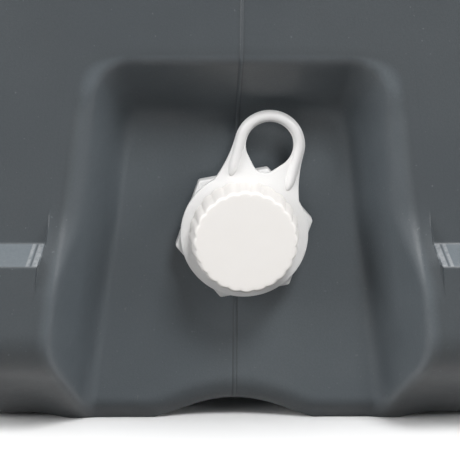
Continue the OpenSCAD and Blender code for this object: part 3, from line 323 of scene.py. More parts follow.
def slate_plastic(name, tank=False):
    n = Nodes(name)
    patch = n.span(n.noise(11.0, 4.0, 0.55), 0.35, 0.68)
    grain = n.span(n.noise(900.0, 3.0, 0.6), 0.3, 0.7, 0.0, 0.35)
    speck = n.span(n.noise(520.0, 1.0, 0.4), 0.735, 0.79)
    base = slate_tone(n, patch, grain, SLATE_OUT)
    if tank:
        lit_niche, line, worn, rubbed, ledge_dark = niche_marks(n)
        # Painted light: the niche paler, with a painted highlight over its mouth edges
        base = n.mix(lit_niche, base, slate_tone(n, patch, grain, SLATE_LIT_NICHE))
        # Painted shade along the insert's line
        base = n.over(base, line, 0.45, INSERT_SHADE_TONE)
        # Wear and painted light: the ledge's upward face drawn paler
        base = n.mix(worn, base, slate_tone(n, patch, grain, SLATE_WORN_LIT_LEDGE))
        base = n.over(base, rubbed, 0.75, RUBBED_TONE)
        base = n.over(base, ledge_dark, 0.8, LEDGE_DARK_TONE)
    base = n.over(base, speck, 0.14, SPECK_TONE)
    # Darker bands beside the parting line
    base = n.over(base, parting(n), 0.65, PARTING_DARK_TONE)
    n.bsdf.inputs["Specular IOR Level"].default_value = 0.4
    rough = n.span(n.noise(55.0, 4.0), 0.3, 0.7, 0.33, 0.42)
    wave = n.bump(n.noise(38.0, 2.0), 0.10, 0.004)
    return n.dress(base, rough, n.bump(n.noise(1250.0, 3.0, 0.6), 0.22, 0.0004, wave))


def white_plastic(name, tint, rough, wear):
    n = Nodes(name)
    patch = n.span(n.noise(24.0, 4.0, 0.6), 0.35, 0.7)
    worn = tuple(c * k for c, k in zip(tint, WHITE_WORN))
    base = n.over(tint, patch, wear, worn)
    scuff = n.span(n.noise(160.0, 5.0, 0.75), 0.66, 0.76, 0.0, 0.25 * wear)
    base = n.mix(scuff, base, tuple(c * SCUFF_SHADE for c in tint))
    wave = n.bump(n.noise(70.0, 2.0), 0.05, 0.002)
    fine = n.bump(n.noise(1100.0, 2.0), 0.05, 0.0003, wave)
    return n.dress(base, n.span(n.noise(90.0, 4.0), 0.3, 0.7, *rough), fine)


def rubber_stuff(name):
    n = Nodes(name)
    dust = n.span(n.noise(120.0, 4.0, 0.7), 0.5, 0.75, 0.0, 0.5)
    base = n.mix(dust, (0.018, 0.018, 0.02), (0.05, 0.05, 0.052))
    rough = n.span(n.noise(200.0, 3.0), 0.3, 0.7, 0.7, 0.85)
    return n.dress(base, rough, n.bump(n.noise(900.0, 3.0), 0.2, 0.0003))


def steel_stuff(name):
    n = Nodes(name)
    n.bsdf.inputs["Metallic"].default_value = 1.0
    line = n.noise(1.0, 4.0, 0.6, n.stretch((900.0, 40.0, 900.0)))
    base = n.mix(n.span(line, 0.3, 0.7), (0.50, 0.51, 0.53), (0.64, 0.65, 0.66))
    return n.dress(base, n.span(line, 0.3, 0.7, 0.26, 0.42), n.bump(line, 0.08, 0.0002))


SLATE = slate_plastic("slate_moulding")
SHELL = slate_plastic("slate_tank", True)
WHITE = white_plastic("white_moulding", (0.80, 0.785, 0.765), (0.34, 0.46), 0.5)
BRIGHT = white_plastic("white_cap", (0.80, 0.775, 0.75), (0.55, 0.65), 0.35)
RING = white_plastic("white_ring", (0.79, 0.785, 0.78), (0.42, 0.54), 0.4)
GLOSS = white_plastic("white_seat", (0.78, 0.77, 0.755), (0.20, 0.30), 0.3)
RUBBER = rubber_stuff("black_rubber")
STEEL = steel_stuff("brushed_steel")

# Mesh helpers


def fresh(name, verts, faces):
    """A mesh object from points in millimetres of the part's frame."""
    mesh = bpy.data.meshes.new(name)
    points = (np.asarray(verts, float) * MM).tolist()
    mesh.from_pydata(points, [], [list(map(int, f)) for f in faces])
    bm = bmesh.new()
    bm.from_mesh(mesh)
    bmesh.ops.recalc_face_normals(bm, faces=bm.faces)
    bm.to_mesh(mesh)
    bm.free()
    obj = bpy.data.objects.new(name, mesh)
    bpy.context.scene.collection.objects.link(obj)
    return obj


def baked(obj):
    """Applies obj's modifiers, or turns a curve into a mesh object."""
    name = obj.name
    graph = bpy.context.evaluated_depsgraph_get()
    mesh = bpy.data.meshes.new_from_object(obj.evaluated_get(graph))
    old = obj.data
    if obj.type == "MESH":
        obj.modifiers.clear()
        obj.data = mesh
        bpy.data.meshes.remove(old)
        return obj
    bpy.data.objects.remove(obj)
    bpy.data.curves.remove(old)
    out = bpy.data.objects.new(name, mesh)
    bpy.context.scene.collection.objects.link(out)
    return out


def drop(obj):
    mesh = obj.data
    bpy.data.objects.remove(obj)
    bpy.data.meshes.remove(mesh)


def carve(obj, cutters):
    for c in cutters:
        mod = obj.modifiers.new("cut", "BOOLEAN")
        mod.operation = "DIFFERENCE"
        mod.solver = "EXACT"
        mod.object = c
    baked(obj)
    for c in cutters:
        drop(c)
    return obj


def ease(obj, width):
    """Rounds obj's sharp edges."""
    mod = obj.modifiers.new("ease", "BEVEL")
    mod.width = width * MM
    mod.segments = EASE_STEPS
    mod.limit_method = "ANGLE"
    mod.angle_limit = math.radians(EASE_ANGLE)
    mod.harden_normals = False
    return baked(obj)


def join(name, objs):
    bm = bmesh.new()
    for o in objs:
        bm.from_mesh(o.data)
    mesh = bpy.data.meshes.new(name)
    bm.to_mesh(mesh)
    bm.free()
    for o in objs:
        drop(o)
    out = bpy.data.objects.new(name, mesh)
    bpy.context.scene.collection.objects.link(out)
    return out


def show(obj, mat, body, replaced=(), angle=SHARP):
    """Gives a finished piece its material, its body and the solid it stands for."""
    obj.data.materials.clear()
    obj.data.materials.append(mat)
    obj.data.shade_smooth()
    obj.data.set_sharp_from_angle(angle=math.radians(angle))
    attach(obj, body)
    if replaced:
        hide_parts(*replaced)
    return obj


def loft_faces(n, m, loop=False):
    out = []
    for j in range(m if loop else m - 1):
        a, b = j * n, ((j + 1) % m) * n
        for i in range(n):
            k = (i + 1) % n
            out.append((a + i, a + k, b + k, b + i))
    return out


def loft(name, rings, loop=False):
    """A closed solid from a stack of rings with flat ends, or from a loop of rings."""
    n, m = len(rings[0]), len(rings)
    faces = loft_faces(n, m, loop)
    if not loop:
        faces += [tuple(range(n))[::-1], tuple(range((m - 1) * n, m * n))]
    return fresh(name, np.vstack(rings), faces)


def prism(name, outline, axis, low, high):
    """A prism over a 2-D outline, pushed along an axis between two levels."""
    u, v = np.asarray(outline, float).T
    rings = []
    for lvl in (low, high):
        at = np.full(len(u), lvl)
        rings.append(np.c_[{"x": (at, u, v), "y": (u, at, v), "z": (u, v, at)}[axis]])
    return loft(name, rings)


def slab(name, low, high):
    (x0, y0, z0), (x1, y1, z1) = low, high
    return prism(name, [(x0, y0), (x1, y0), (x1, y1), (x0, y1)], "z", z0, z1)


def arc(cx, cy, r, a0, a1, n):
    t = np.radians(np.linspace(a0, a1, n))
    return np.c_[cx + r * np.cos(t), cy + r * np.sin(t)]


def circle(cx, cy, r, n=72):
    return arc(cx, cy, r, 0, 360 - 360 / n, n)


def spline(pts, n, closed=False):
    """A smooth line through points, n steps between neighbours."""
    p = np.asarray(pts, float)
    k = len(p)
    out = []
    for i in range(k if closed else k - 1):
        ids = np.arange(i - 1, i + 3)
        a, b, c, d = p[ids % k if closed else np.clip(ids, 0, k - 1)]
        for t in np.arange(n) / n:
            low = 2 * b + (c - a) * t + (2 * a - 5 * b + 4 * c - d) * t**2
            out.append(0.5 * (low + (3 * b - a - 3 * c + d) * t**3))
    if not closed:
        out.append(p[-1])
    return np.array(out)


def lathe(name, profile, place, n=96, shape=None):
    """Turns (radius, height) pairs round an axis; place() carries (u, v, w) into the part's frame.
    A path that starts and ends on the axis is closed there, any other path is taken as a loop.
    shape() may change the radius round the turn."""
    turn = np.arange(n) * 2 * math.pi / n
    verts, rows = [], []
    for r, h in profile:
        if r < TINY:
            rows.append([len(verts)] * n)
            verts.append((0, 0, h))
            continue
        rr = np.full(n, r) if shape is None else shape(r, h, turn)
        rows.append(list(range(len(verts), len(verts) + n)))
        verts += list(zip(rr * np.cos(turn), rr * np.sin(turn), np.full(n, h)))
    faces = []
    ends = profile[0][0] < TINY and profile[-1][0] < TINY
    for j in range(len(rows) - 1 if ends else len(rows)):
        a, b = rows[j], rows[(j + 1) % len(rows)]
        for i in range(n):
            k = (i + 1) % n
            f = list(dict.fromkeys((a[i], a[k], b[k], b[i])))
            if len(f) > 2:
                faces.append(f)
    return fresh(name, place(np.array(verts, float)), faces)


# Each of these carries a turned piece's (u, v, w) to its place in the part's frame


def upright(x, y, z):
    return lambda p: p + np.array((x, y, z))


def outlet(level):
    return lambda p: np.c_[OUT_X + p[:, 0], -level - p[:, 2], OUT_Z + p[:, 1]]


def along_x(x, y, z):
    return lambda p: np.c_[x + p[:, 2], y + p[:, 0], z + p[:, 1]]


def plate(name, outlines, thick, edge, place, turn=0.0):
    """A flat plate with holes and rounded edges, from outlines of its own plane."""
    curve = bpy.data.curves.new(name, "CURVE")
    curve.dimensions = "2D"
    curve.fill_mode = "BOTH"
    curve.extrude = thick / 2 - edge
    curve.bevel_depth = edge
    curve.bevel_resolution = 2
    curve.offset = -edge
    for pts in outlines:
        line = curve.splines.new("POLY")
        line.points.add(len(pts) - 1)
        line.points.foreach_set("co", np.c_[pts, np.zeros(len(pts)), np.ones(len(pts))].ravel())
        line.use_cyclic_u = True
    obj = bpy.data.objects.new(name, curve)
    bpy.context.scene.collection.objects.link(obj)
    obj = baked(obj)
    n = len(obj.data.vertices)
    co = np.empty(3 * n)
    obj.data.vertices.foreach_get("co", co)
    co = co.reshape(-1, 3) + np.array((0, 0, thick / 2))
    c, s = math.cos(math.radians(turn)), math.sin(math.radians(turn))
    co[:, :2] = co[:, :2] @ np.array(((c, s), (-s, c)))
    obj.data.vertices.foreach_set("co", (place(co) * MM).ravel())
    bm = bmesh.new()
    bm.from_mesh(obj.data)
    bmesh.ops.remove_doubles(bm, verts=bm.verts, dist=WELD)
    bmesh.ops.recalc_face_normals(bm, faces=bm.faces)
    bm.to_mesh(obj.data)
    bm.free()
    return obj


# Tank walls


def corner(cx, cy, r, start, n):
    a = np.radians(start + 90.0 * np.arange(1, n) / n)
    return np.c_[cx + r * np.cos(a), cy + r * np.sin(a), np.cos(a), np.sin(a)]


def half_ring(hx, hy, r, rear_xs, side_ys):
    """From the middle of the left side round the rear to the right: places and directions out."""
    n = CORNER_STEPS
    none, one = np.zeros_like(side_ys), np.ones_like(side_ys)
    left = np.c_[-hx * one, -side_ys, -one, none]
    right = np.c_[hx * one, -side_ys, one, none][::-1]
    none, one = np.zeros_like(rear_xs), np.ones_like(rear_xs)
    rear = np.c_[rear_xs, -hy * one, none, -one]
    turns = corner(r - hx, r - hy, r, 180, n), corner(hx - r, r - hy, r, 270, n)
    return np.vstack([left, turns[0], rear, turns[1], right])


def full_ring(half):
    return np.vstack([half, half[-2:0:-1] * np.array((1, -1, 1, -1))])


def crown(z, top, r):
    """Inset of a rounded top edge."""
    u = np.maximum(0, z - top + r)
    return r - np.sqrt(np.maximum(0, r * r - u * u))


def foot(z, low, r):
    """Inset of a rounded bottom edge."""
    u = np.maximum(0, low + r - z)
    return r - np.sqrt(np.maximum(0, r * r - u * u))


def keel(z):
    return soft_max(0.0, (KEEL_H - z) * KEEL_RUN / KEEL_H, KEEL_BLEND)


def ledge(z):
    rise = soft_max(z - LEDGE_Z, 0.0, LEDGE_BLEND)
    return LEDGE_IN * soft_min(rise, LEDGE_RISE, LEDGE_BLEND) / LEDGE_RISE


def waste_inset(z):
    return keel(z) + ledge(z) + crown(z, WASTE_H, TOP_R)


def arch(x):
    """The floor channel's height across the tank, as a share of its middle."""
    return np.maximum(0, np.cos(np.pi / 2 * np.minimum(1, np.abs(x) / ARCH_HALF))) ** ARCH_POWER


def rear_inset(x, z):
    """Depth of the rear wall: the niche, and the dished margin beside it where the ledge ends."""
    side = (NICHE_HALF - NICHE_LEAN * z - np.abs(x)) / NICHE_DRAFT
    over = (NICHE_TOP - z) * NICHE_ROOF
    sill = SILL_H + SILL_RISE * arch(x)
    deep = NICHE_DEEP + (sill - z) * (KEEL_RUN - NICHE_DEEP) / sill
    deep = soft_max(NICHE_DEEP, deep, SILL_BLEND)
    share = np.clip(np.minimum(side, over) / NICHE_DEEP, 0, 1)
    corner_k = NICHE_KC_OUT + (NICHE_KC_IN - NICHE_KC_OUT) * share
    niche = soft_min(soft_min(side, over, corner_k), deep, NICHE_KB)
    inward = (side - LEDGE_SLANT * ledge(z)) * NICHE_DRAFT + MARGIN_W
    beside = ramp(inward / SLOPE_END)
    step = ledge(z) * (1 - beside) + LEDGE_IN * ramp((z - SLOPE_LOW) / SLOPE_H) * beside
    w = keel(z) + step + crown(z, WASTE_H, TOP_R)
    near_side = (side - w) * NICHE_DRAFT / MARGIN_W
    near = soft_min(near_side, (over - w) / NICHE_ROOF / MARGIN_TOP, MARGIN_ROUND)
    soft = MOUTH_LOW + (MOUTH_HIGH - MOUTH_LOW) * ramp((z - MOUTH_Z) / MOUTH_SPAN)
    edge = NICHE_KE + (soft - NICHE_KE) * ramp((over - side - MOUTH_FADE_AT) / MOUTH_FADE)
    return soft_max(w + MARGIN_DEEP * np.clip(1 + near, 0, 1) ** 2, niche, edge)


def rear_x(x, z):
    """Rear columns lean with the niche's side walls, so that they follow its edges."""
    bent = x * NICHE_LEAN * z / PANEL_HALF
    lean = np.where(np.abs(x) > PANEL_HALF - HAIR, np.sign(x) * NICHE_LEAN * z, bent)
    return np.where(np.abs(x) > TANK_X - CORNER_R - HAIR, x, x - lean)


def pocket(y, z, bot, top, deep):
    """Depth of a side grip: steep at its sides and roof, with a sloping floor."""
    mouth = soft_min((GRIP_HALF - np.abs(y)) * GRIP_SIDE, (top - z) * GRIP_ROOF, GRIP_BLEND)
    slope = soft_min((z - bot) * GRIP_RAMP, deep, GRIP_BLEND)
    return soft_max(0.0, soft_min(mouth, slope, GRIP_BLEND), GRIP_BLEND / 2)


def floor_lift(x):
    """How far the floor stands up: the channel, and the relief outside the skids."""
    return ARCH_H * arch(x) + SKID_RELIEF * ramp((np.abs(x) - SKID_OUT) / SKID_FADE)


def seam(x):
    """The moulding's parting line: a fine ridge on the middle plane between two shallow grooves."""
    ridge = SEAM_HIGH * np.exp(-((x / SEAM_WIDE) ** 2))
    return ridge - GROOVE_DEEP * np.exp(-(((np.abs(x) - GROOVE_AT) / GROOVE_WIDE) ** 2))


def both_sides(pos):
    return np.concatenate([-pos[::-1], [0.0], pos])


def side_columns(end):
    """Places along a tank's side, close together over the grip."""
    grip = GRIP_HALF + GRIP_BLEND
    return np.concatenate([grid(0.0, grip, 3.0), grid(grip + 8, end, 9.0)])


def crown_zs(top, r):
    return top - r + r * np.sin(np.linspace(0, np.pi / 2, CROWN_STEPS))


def levels(spans, *more):
    """A tank's rows, upward: even steps over spans of (low, high, step), and more of them."""
    rows = np.concatenate([grid(*span) for span in spans] + list(more))
    return np.unique(np.round(rows, 3))


def build_waste_tank():
    rim = -MARGIN_W / NICHE_DRAFT
    depths = np.concatenate([
        grid(NICHE_DEEP + NICHE_KB, NICHE_DEEP - NICHE_KB, -1.2),
        grid(NICHE_DEEP - NICHE_KB - 2, 18.0, -2.0), grid(16.0, -6.0, -1.0),
        grid(-7.0, rim - 2, -0.8), [rim - 5],
    ])
    edges = NICHE_HALF - NICHE_DRAFT * depths
    panel = grid(4.0, PANEL_HALF - 2.5, 2.6)
    xs = both_sides(np.concatenate([SEAM_XS, panel, edges, [TANK_X - CORNER_R]]))
    ys = side_columns(TANK_Y - CORNER_R)
    half = half_ring(TANK_X, TANK_Y, CORNER_R, xs, ys)
    ring = full_ring(half)
    # Close rows where the wall bends: sill, keel, ledge, grips and the niche's roof
    zs = levels([
        (0, 36, 1.2), (37.5, 48, 1.5), (51, 66, 2.5), (SLOPE_LOW, LEDGE_Z - 1.2, 1.2),
        (LEDGE_Z - 0.8, LEDGE_Z + 0.8, 0.4), (LEDGE_Z + 2, LEDGE_TOP - 2, 1.2),
        (LEDGE_TOP - 0.8, LEDGE_TOP + 0.8, 0.4), (LEDGE_TOP + 2, SLOPE_LOW + SLOPE_H, 1.5),
        (115, 134, 2.4), (136, 153, 1.1), (155, 175, 2.0), (176.5, 190, 0.7),
        (193, WASTE_H - TOP_R, 3.0),
    ], crown_zs(WASTE_H, TOP_R))
    n, m, h, s = len(ring), len(zs), len(half), len(ys)
    Z = zs[:, None]
    px, py, nx, ny = (np.repeat(ring[None, :, k], m, 0) for k in range(4))
    w = np.broadcast_to(waste_inset(Z), (m, n)).copy()
    rear, front, side = ring[:, 3] == -1, ring[:, 3] == 1, ring[:, 3] == 0
    px[:, rear] = rear_x(px[:, rear], Z)
    w[:, rear] = rear_inset(px[:, rear], Z)
    w[:, side] += pocket(py[:, side], Z, GRIP_BOT, GRIP_TOP, GRIP_DEEP)
    for part in (rear, front):
        w[:, part] -= seam(px[:, part])
    X, Y = px - w * nx, py - w * ny
    P = np.stack([X, Y, Z + floor_lift(X) * np.maximum(0, 1 - Z / KEEL_H) ** 2], -1)
    faces = loft_faces(n, m)
    faces.append(tuple((m - 1) * n + i for i in range(n)))
    faces.append(tuple(range(s, -1, -1)) + tuple((n - i) % n for i in range(1, s + 1)))
    faces.append(tuple(range(h - 1 - s, h + s)))
    for i in range(s, h - 1 - s):
        faces.append((i, (n - i) % n, (n - i - 1) % n, i + 1))
    obj = fresh("tank_body", P.reshape(-1, 3), faces)

    rc, yc = CHAN_R, CHAN_REAR + CHAN_R
    lane = np.vstack([
        [(-CHAN_HALF, LANE_END)], arc(-CHAN_HALF + rc, yc, rc, 180, 270, 9),
        arc(CHAN_HALF - rc, yc, rc, 270, 360, 9), [(CHAN_HALF, LANE_END)],
    ])
    bore = NECK_R + RUN
    scoop = circle(UPPER_Y, CHAN_FLOOR, SCOOP_R, 120)
    throat = circle(0, THROAT_Y, THROAT_R, 120)
    hole = circle(OUT_X, OUT_Z, bore)
    carve(obj, [
        prism("lane", lane, "z", CHAN_FLOOR, WASTE_H + LANE_CUT),
        prism("scoop", scoop, "x", -SCOOP_L / 2, SCOOP_L / 2),
        prism("throat", throat, "z", CHAN_FLOOR - WALL - CUT, CHAN_FLOOR + CUT),
        prism("hole", hole, "y", -PANEL - HOLE_CUT_OUT, -PANEL + HOLE_CUT_IN),
        prism("core", TANK_CORE, "z", TANK_CORE_Z, CHAN_FLOOR - WALL),
    ])
    show(obj, SHELL, "waste_tank", ("waste_tank",), SHARP_TANK)
    path = [(bore, -BOSS_TUCK), (BOSS_R, -BOSS_TUCK), (BOSS_R, BOSS_H), (bore, BOSS_H)]
    show(lathe("outlet_boss", path, outlet(PANEL)), SHELL, "waste_tank", ())


def build_flush_tank():
    ys = side_columns(UPPER_Y - UPPER_CORNER)
    xs = both_sides(np.concatenate([SEAM_XS, [6.0, 40.0, 75.0, UPPER_X - UPPER_CORNER]]))
    ring = full_ring(half_ring(UPPER_X, UPPER_Y, UPPER_CORNER, xs, ys))
    foot_zs = FLUSH_Z + FOOT_R - FOOT_R * np.cos(np.linspace(0, np.pi / 2, FOOT_STEPS))
    zs = levels([
        (FLUSH_Z + 14, FLUSH_GRIP_BOT - 6, 14), (FLUSH_GRIP_BOT - 4, FLUSH_GRIP_TOP + 6, 2.0),
        (FLUSH_GRIP_TOP + 12, DECK - DECK_R - 3, 8.0),
    ], foot_zs, crown_zs(DECK, DECK_R))
    Z = zs[:, None]
    px, py, nx, ny = (ring[None, :, k] for k in range(4))
    taper = FLUSH_TAPER * (Z - FLUSH_Z) / FLUSH_H
    w = foot(Z, FLUSH_Z, FOOT_R) + taper + crown(Z, DECK, DECK_R)
    w = np.broadcast_to(w, (len(zs), len(ring))).copy()
    side = ring[:, 3] == 0
    w[:, side] += pocket(py[:, side], Z, FLUSH_GRIP_BOT, FLUSH_GRIP_TOP, FLUSH_GRIP_DEEP)
    for part in (ring[:, 3] == -1, ring[:, 3] == 1):
        w[:, part] -= seam(px[:, part])
    P = np.stack([px - w * nx, py - w * ny, np.broadcast_to(Z, w.shape)], -1)
    obj = loft("flush_body", list(P))
    low, high = DECK - WALL - CUT, DECK + CUT
    spigot = circle(0, THROAT_Y, SPIGOT_R + RUN, 120)
    carve(obj, [
        prism("mouth", bowl_oval(0, BOWL_WALL + GAP)[:, :2], "z", low, high),
        prism("spigot", spigot, "z", FLUSH_Z - CUT, FLUSH_Z + WALL + CUT),
        prism("pump", circle(PUMP_X, -PUMP_Y, BARREL_R + RUN), "z", low, high),
        prism("fill", circle(-PUMP_X, -PUMP_Y, FILL_R + RUN), "z", low, high),
        prism("core", FLUSH_CORE, "z", FLUSH_Z + WALL, DECK - WALL),
    ])
    show(obj, SLATE, "flush_tank", ("flush_tank",), SHARP_TANK)
    half, k = LATCH_W / 2 + 3, KEEPER_H
    section = [(0, 0), (k - 2, 0), (k, 3), (k, k), (0, k)]
    for name, side in (("keeper_left", -1), ("keeper_right", 1)):
        x0 = side * (KEEPER_OUT - k)
        line = [(x0 + side * a, KEEPER_TOP - k + b) for a, b in section]
        ridge = prism(name, line, "y", -half, half)
        show(ease(ridge, EDGE_FOOT), SLATE, "flush_tank", ())


# Drain outlet


def rib_drop(theta, r, ribs, phase, round_r):
    """How far the valleys between broad round ribs fall below the ribs' crests."""
    pitch = 2 * math.pi / ribs
    d = (theta - math.radians(phase) + pitch / 2) % pitch - pitch / 2
    c = r - round_r
    return r - (c * np.cos(d) + np.sqrt(round_r**2 - (c * np.sin(d)) ** 2))


def ribbed_cap(name, h, r_low, r_top, r_in, top_t, phase, place):
    """A hollow screw cap with broad ribs that fade out over its rounded edges."""
    edge, foot_e = 1.5, 0.5

    def wide(w):
        return r_low + (r_top - r_low) * w / h

    rows = [(0.0, h - top_t, 0), (r_in, h - top_t, 0), (r_in, 0.6, 0), (r_in + 0.6, 0.0, 0)]
    for a in np.linspace(0, np.pi / 2, 5):
        s, c = math.sin(a), math.cos(a)
        rows.append((wide(foot_e) - foot_e + foot_e * s, foot_e - foot_e * c, 0.5 + 0.5 * s))
    for w in np.linspace(foot_e + 0.8, h - edge - 0.4, 9):
        rows.append((wide(w), w, 1.0))
    for a in np.linspace(0, np.pi / 2, 8):
        r = wide(h - edge) - edge + edge * math.sin(math.pi / 2 - a)
        rows.append((r, h - edge + edge * math.sin(a), math.cos(a) ** 0.6))
    rows += [(r_top - edge - 1.2, h, 0), (r_top * 0.6, h, 0), (r_top * 0.25, h, 0), (0.0, h, 0)]
    weight = {(round(r, 5), round(w, 5)): k for r, w, k in rows}

    def shape(r, w, theta):
        drop_by = rib_drop(theta, r_low, CAP_RIBS, phase, RIB_ROUND)
        return r - weight[(round(r, 5), round(w, 5))] * drop_by

    return lathe(name, [(r, w) for r, w, k in rows], place, CAP_RIBS * 14, shape)


def ring_lines():
    """Outline, finger hole and bore of the ring plate, loop upward."""
    out_r, curve = LOOP_HOLE + LOOP_BAR, 61.0
    cx = out_r + curve
    a = np.radians(np.linspace(0, 40, 400))
    u, v = -cx + curve * np.cos(a), LOOP_REACH - curve * np.sin(a)
    hit = np.argmax(np.hypot(u, v) < RING_R)
    left = np.c_[u, v][:hit:6]
    start = math.degrees(math.atan2(v[hit], u[hit]))
    ring = arc(0, 0, RING_R, start, 540 - start, 120)
    right = (left * np.array((-1, 1)))[::-1]
    outer = np.vstack([arc(0, LOOP_REACH, out_r, 0, 180, 60)[:-1], left, ring, right[:-1]])
    low_r = 6.0
    low_v = RING_R + low_r + 0.5
    tip = math.degrees(math.asin((LOOP_HOLE - low_r) / (LOOP_REACH - low_v)))
    upper = arc(0, LOOP_REACH, LOOP_HOLE, -tip, 180 + tip, 70)
    finger = np.vstack([upper, arc(0, low_v, low_r, 180 + tip, 360 - tip, 30)])
    return [outer, finger, circle(0, 0, NECK_R + RUN, 96)]


def bead():
    """The raised inverted U on the finger loop, with ends that run out."""
    r_path, r = LOOP_HOLE + LOOP_BAR / 2, LOOP_BAR / 2 - BEAD_SINK
    pts = [(r_path, LOOP_REACH - LOOP_LEG, 0, 1)]
    for a in np.radians(np.linspace(0, 180, 49)):
        c, s = math.cos(a), math.sin(a)
        pts.append((r_path * c, LOOP_REACH + r_path * s, -s, c))
    pts.append((-r_path, LOOP_REACH - LOOP_LEG, 0, -1))
    around = np.arange(24)[:, None] * 2 * math.pi / 24
    up = np.array((0, 0, 1.0))

    def ring_at(u, v, tu, tv, k, push):
        c = np.array((u + tu * push, v + tv * push, RING_T - BEAD_SINK))
        side = np.array((-tv, tu, 0.0))
        return c + k * (np.cos(around) * side + np.sin(around) * up)

    def run_out(p, way, turns):
        return [
            ring_at(*p, r * math.cos(f), way * BEAD_RUNOUT * r * math.sin(f))
            for f in np.radians(turns)
        ]

    rings = run_out(pts[0], -1, BEAD_TURNS)
    rings += [ring_at(*p, r, 0.0) for p in pts]
    rings += run_out(pts[-1], 1, BEAD_TURNS[::-1])
    c, s = math.cos(math.radians(-LOOP_LEAN)), math.sin(math.radians(-LOOP_LEAN))
    turn = np.array(((c, s, 0), (-s, c, 0), (0, 0, 1)))
    return loft("bead", [outlet(RING_LVL)(q @ turn) for q in rings])


def nut_lines():
    soft = 1.6
    apothem = NUT_R * math.cos(math.pi / 6)
    at = (apothem - soft) / math.cos(math.pi / 6)
    hexagon = np.vstack([
        arc(at * math.cos(math.radians(a)), at * math.sin(math.radians(a)), soft, a - 30, a + 30, 7)
        for a in range(0, 360, 60)
    ])
    return [hexagon, circle(0, 0, NECK_R + RUN, 96)]


def build_outlet():
    cap = ribbed_cap(
        "cap_body", CAP_H, CAP_R, CAP_FACE_R, NECK_R + RUN, CAP_TOP_T, RIB_TURN, outlet(CAP_LVL)
    )
    show(cap, BRIGHT, "drain_cap", ("drain_cap",), SHARP_CAP)
    flat = plate("ring_plate", ring_lines(), RING_T, EDGE_RING, outlet(RING_LVL), -LOOP_LEAN)
    ring = join("loop_ring", [flat, bead()])
    show(ring, RING, "cap_ring", ("cap_ring",), SHARP_RING)
    nut = plate("lock_nut", nut_lines(), NUT_H, EDGE_NUT, outlet(NUT_LVL), NUT_TURN)
    show(nut, RING, "waste_tank", ("outlet_nut",), SHARP_RING)


# Bowl, seat and lid


def power(v, e):
    return np.sign(v) * np.abs(v) ** e


def oval(a, b, y, e):
    """A superellipse round (0, y)."""
    t = np.arange(OVAL_STEPS) * 2 * np.pi / OVAL_STEPS
    return np.c_[a * power(np.cos(t), e), y + b * power(np.sin(t), e)]


def egg(a, front, rear, inset):
    """The seat's outline, with a blunter front half and a more pointed rear half."""
    t = np.arange(OVAL_STEPS) * 2 * np.pi / OVAL_STEPS
    c, s = np.cos(t), np.sin(t)
    fwd = s >= -TINY
    e = np.where(fwd, 2 / EGG_FRONT, 2 / EGG_REAR)
    reach = np.where(fwd, front, rear) - inset
    return np.c_[(a - inset) * power(c, e), BOWL_Y + reach * power(s, e)]


def lift(ring, z):
    return np.c_[ring, np.full(len(ring), float(z))]


def bowl_oval(t, grow):
    """The bowl's outline at a share t of its depth, made larger by grow."""
    k = float(ramp((t - BOWL_LIP) / BOWL_FALL))
    ring = oval(
        BOWL_A + (THROAT_R - BOWL_A) * k + grow, BOWL_B + (THROAT_R - BOWL_B) * k + grow,
        BOWL_Y + (THROAT_Y - BOWL_Y) * k, BOWL_POWER + (1 - BOWL_POWER) * k,
    )
    return lift(ring, DECK - FLUSH_H * t)


def build_bowl():
    steps = np.linspace(0, 1, BOWL_STEPS)
    outer = [bowl_oval(t, BOWL_WALL) for t in steps[::-1]]
    wide = BOWL_WALL + FLANGE_W
    rim = [
        (wide, 0.0), (wide, FLANGE_H * 0.5), (wide - 0.5, FLANGE_H * 0.82), (wide - 1.6, FLANGE_H),
        (wide - 4, FLANGE_H), (3.0, FLANGE_H), (1.2, FLANGE_H - 0.3), (0.3, FLANGE_H - 1.2),
    ]
    flange = [lift(bowl_oval(0, g)[:, :2], DECK + z) for g, z in rim]
    inner = [bowl_oval(t, 0) for t in steps]
    obj = loft("bowl_shell", outer + flange + inner, True)
    aim = math.atan2(PUMP_Y + BOWL_Y, -PUMP_X)
    reach = math.hypot(PUMP_X, PUMP_Y + BOWL_Y)
    d = np.array((math.cos(aim), math.sin(aim), 0))
    side = np.array((-math.sin(aim), math.cos(aim), 0))
    start = reach - BOWL_B - BOWL_WALL - 1 - NOZZLE_R
    ring = circle(0, 0, NOZZLE_R + RUN, 48)
    base = np.array((PUMP_X, -PUMP_Y, DECK - NOZZLE_DROP))
    round_it = ring[:, :1] * side + ring[:, 1:] * np.array((0, 0, 1))
    hole = [base + d * a + round_it for a in (start, start + 4 * NOZZLE_R)]
    carve(obj, [loft("nozzle_hole", hole)])
    show(obj, GLOSS, "flush_tank", ("bowl",), SHARP_RING)


def knuckle(name, x0, x1, arm_low, arm_high, reach):
    """A hinge knuckle with an arm reaching forward, bored for the pin."""
    r, y, z = KNUCKLE_R, HINGE_Y, HINGE_Z
    high = min(arm_high, z + r - 0.2)
    low = max(arm_low, z - r + 0.2)
    a0 = math.degrees(math.asin((high - z) / r))
    a1 = math.degrees(math.asin((low - z) / r)) + 360
    line = np.vstack([[(y + reach, low), (y + reach, high)], arc(y, z, r, a0, a1, 40)])
    obj = ease(prism(name, line, "x", x0, x1), EDGE_KNUCKLE)
    return carve(obj, [prism("bore", circle(y, z, PIN_R + RUN, 48), "x", x0 - CUT, x1 + CUT)])


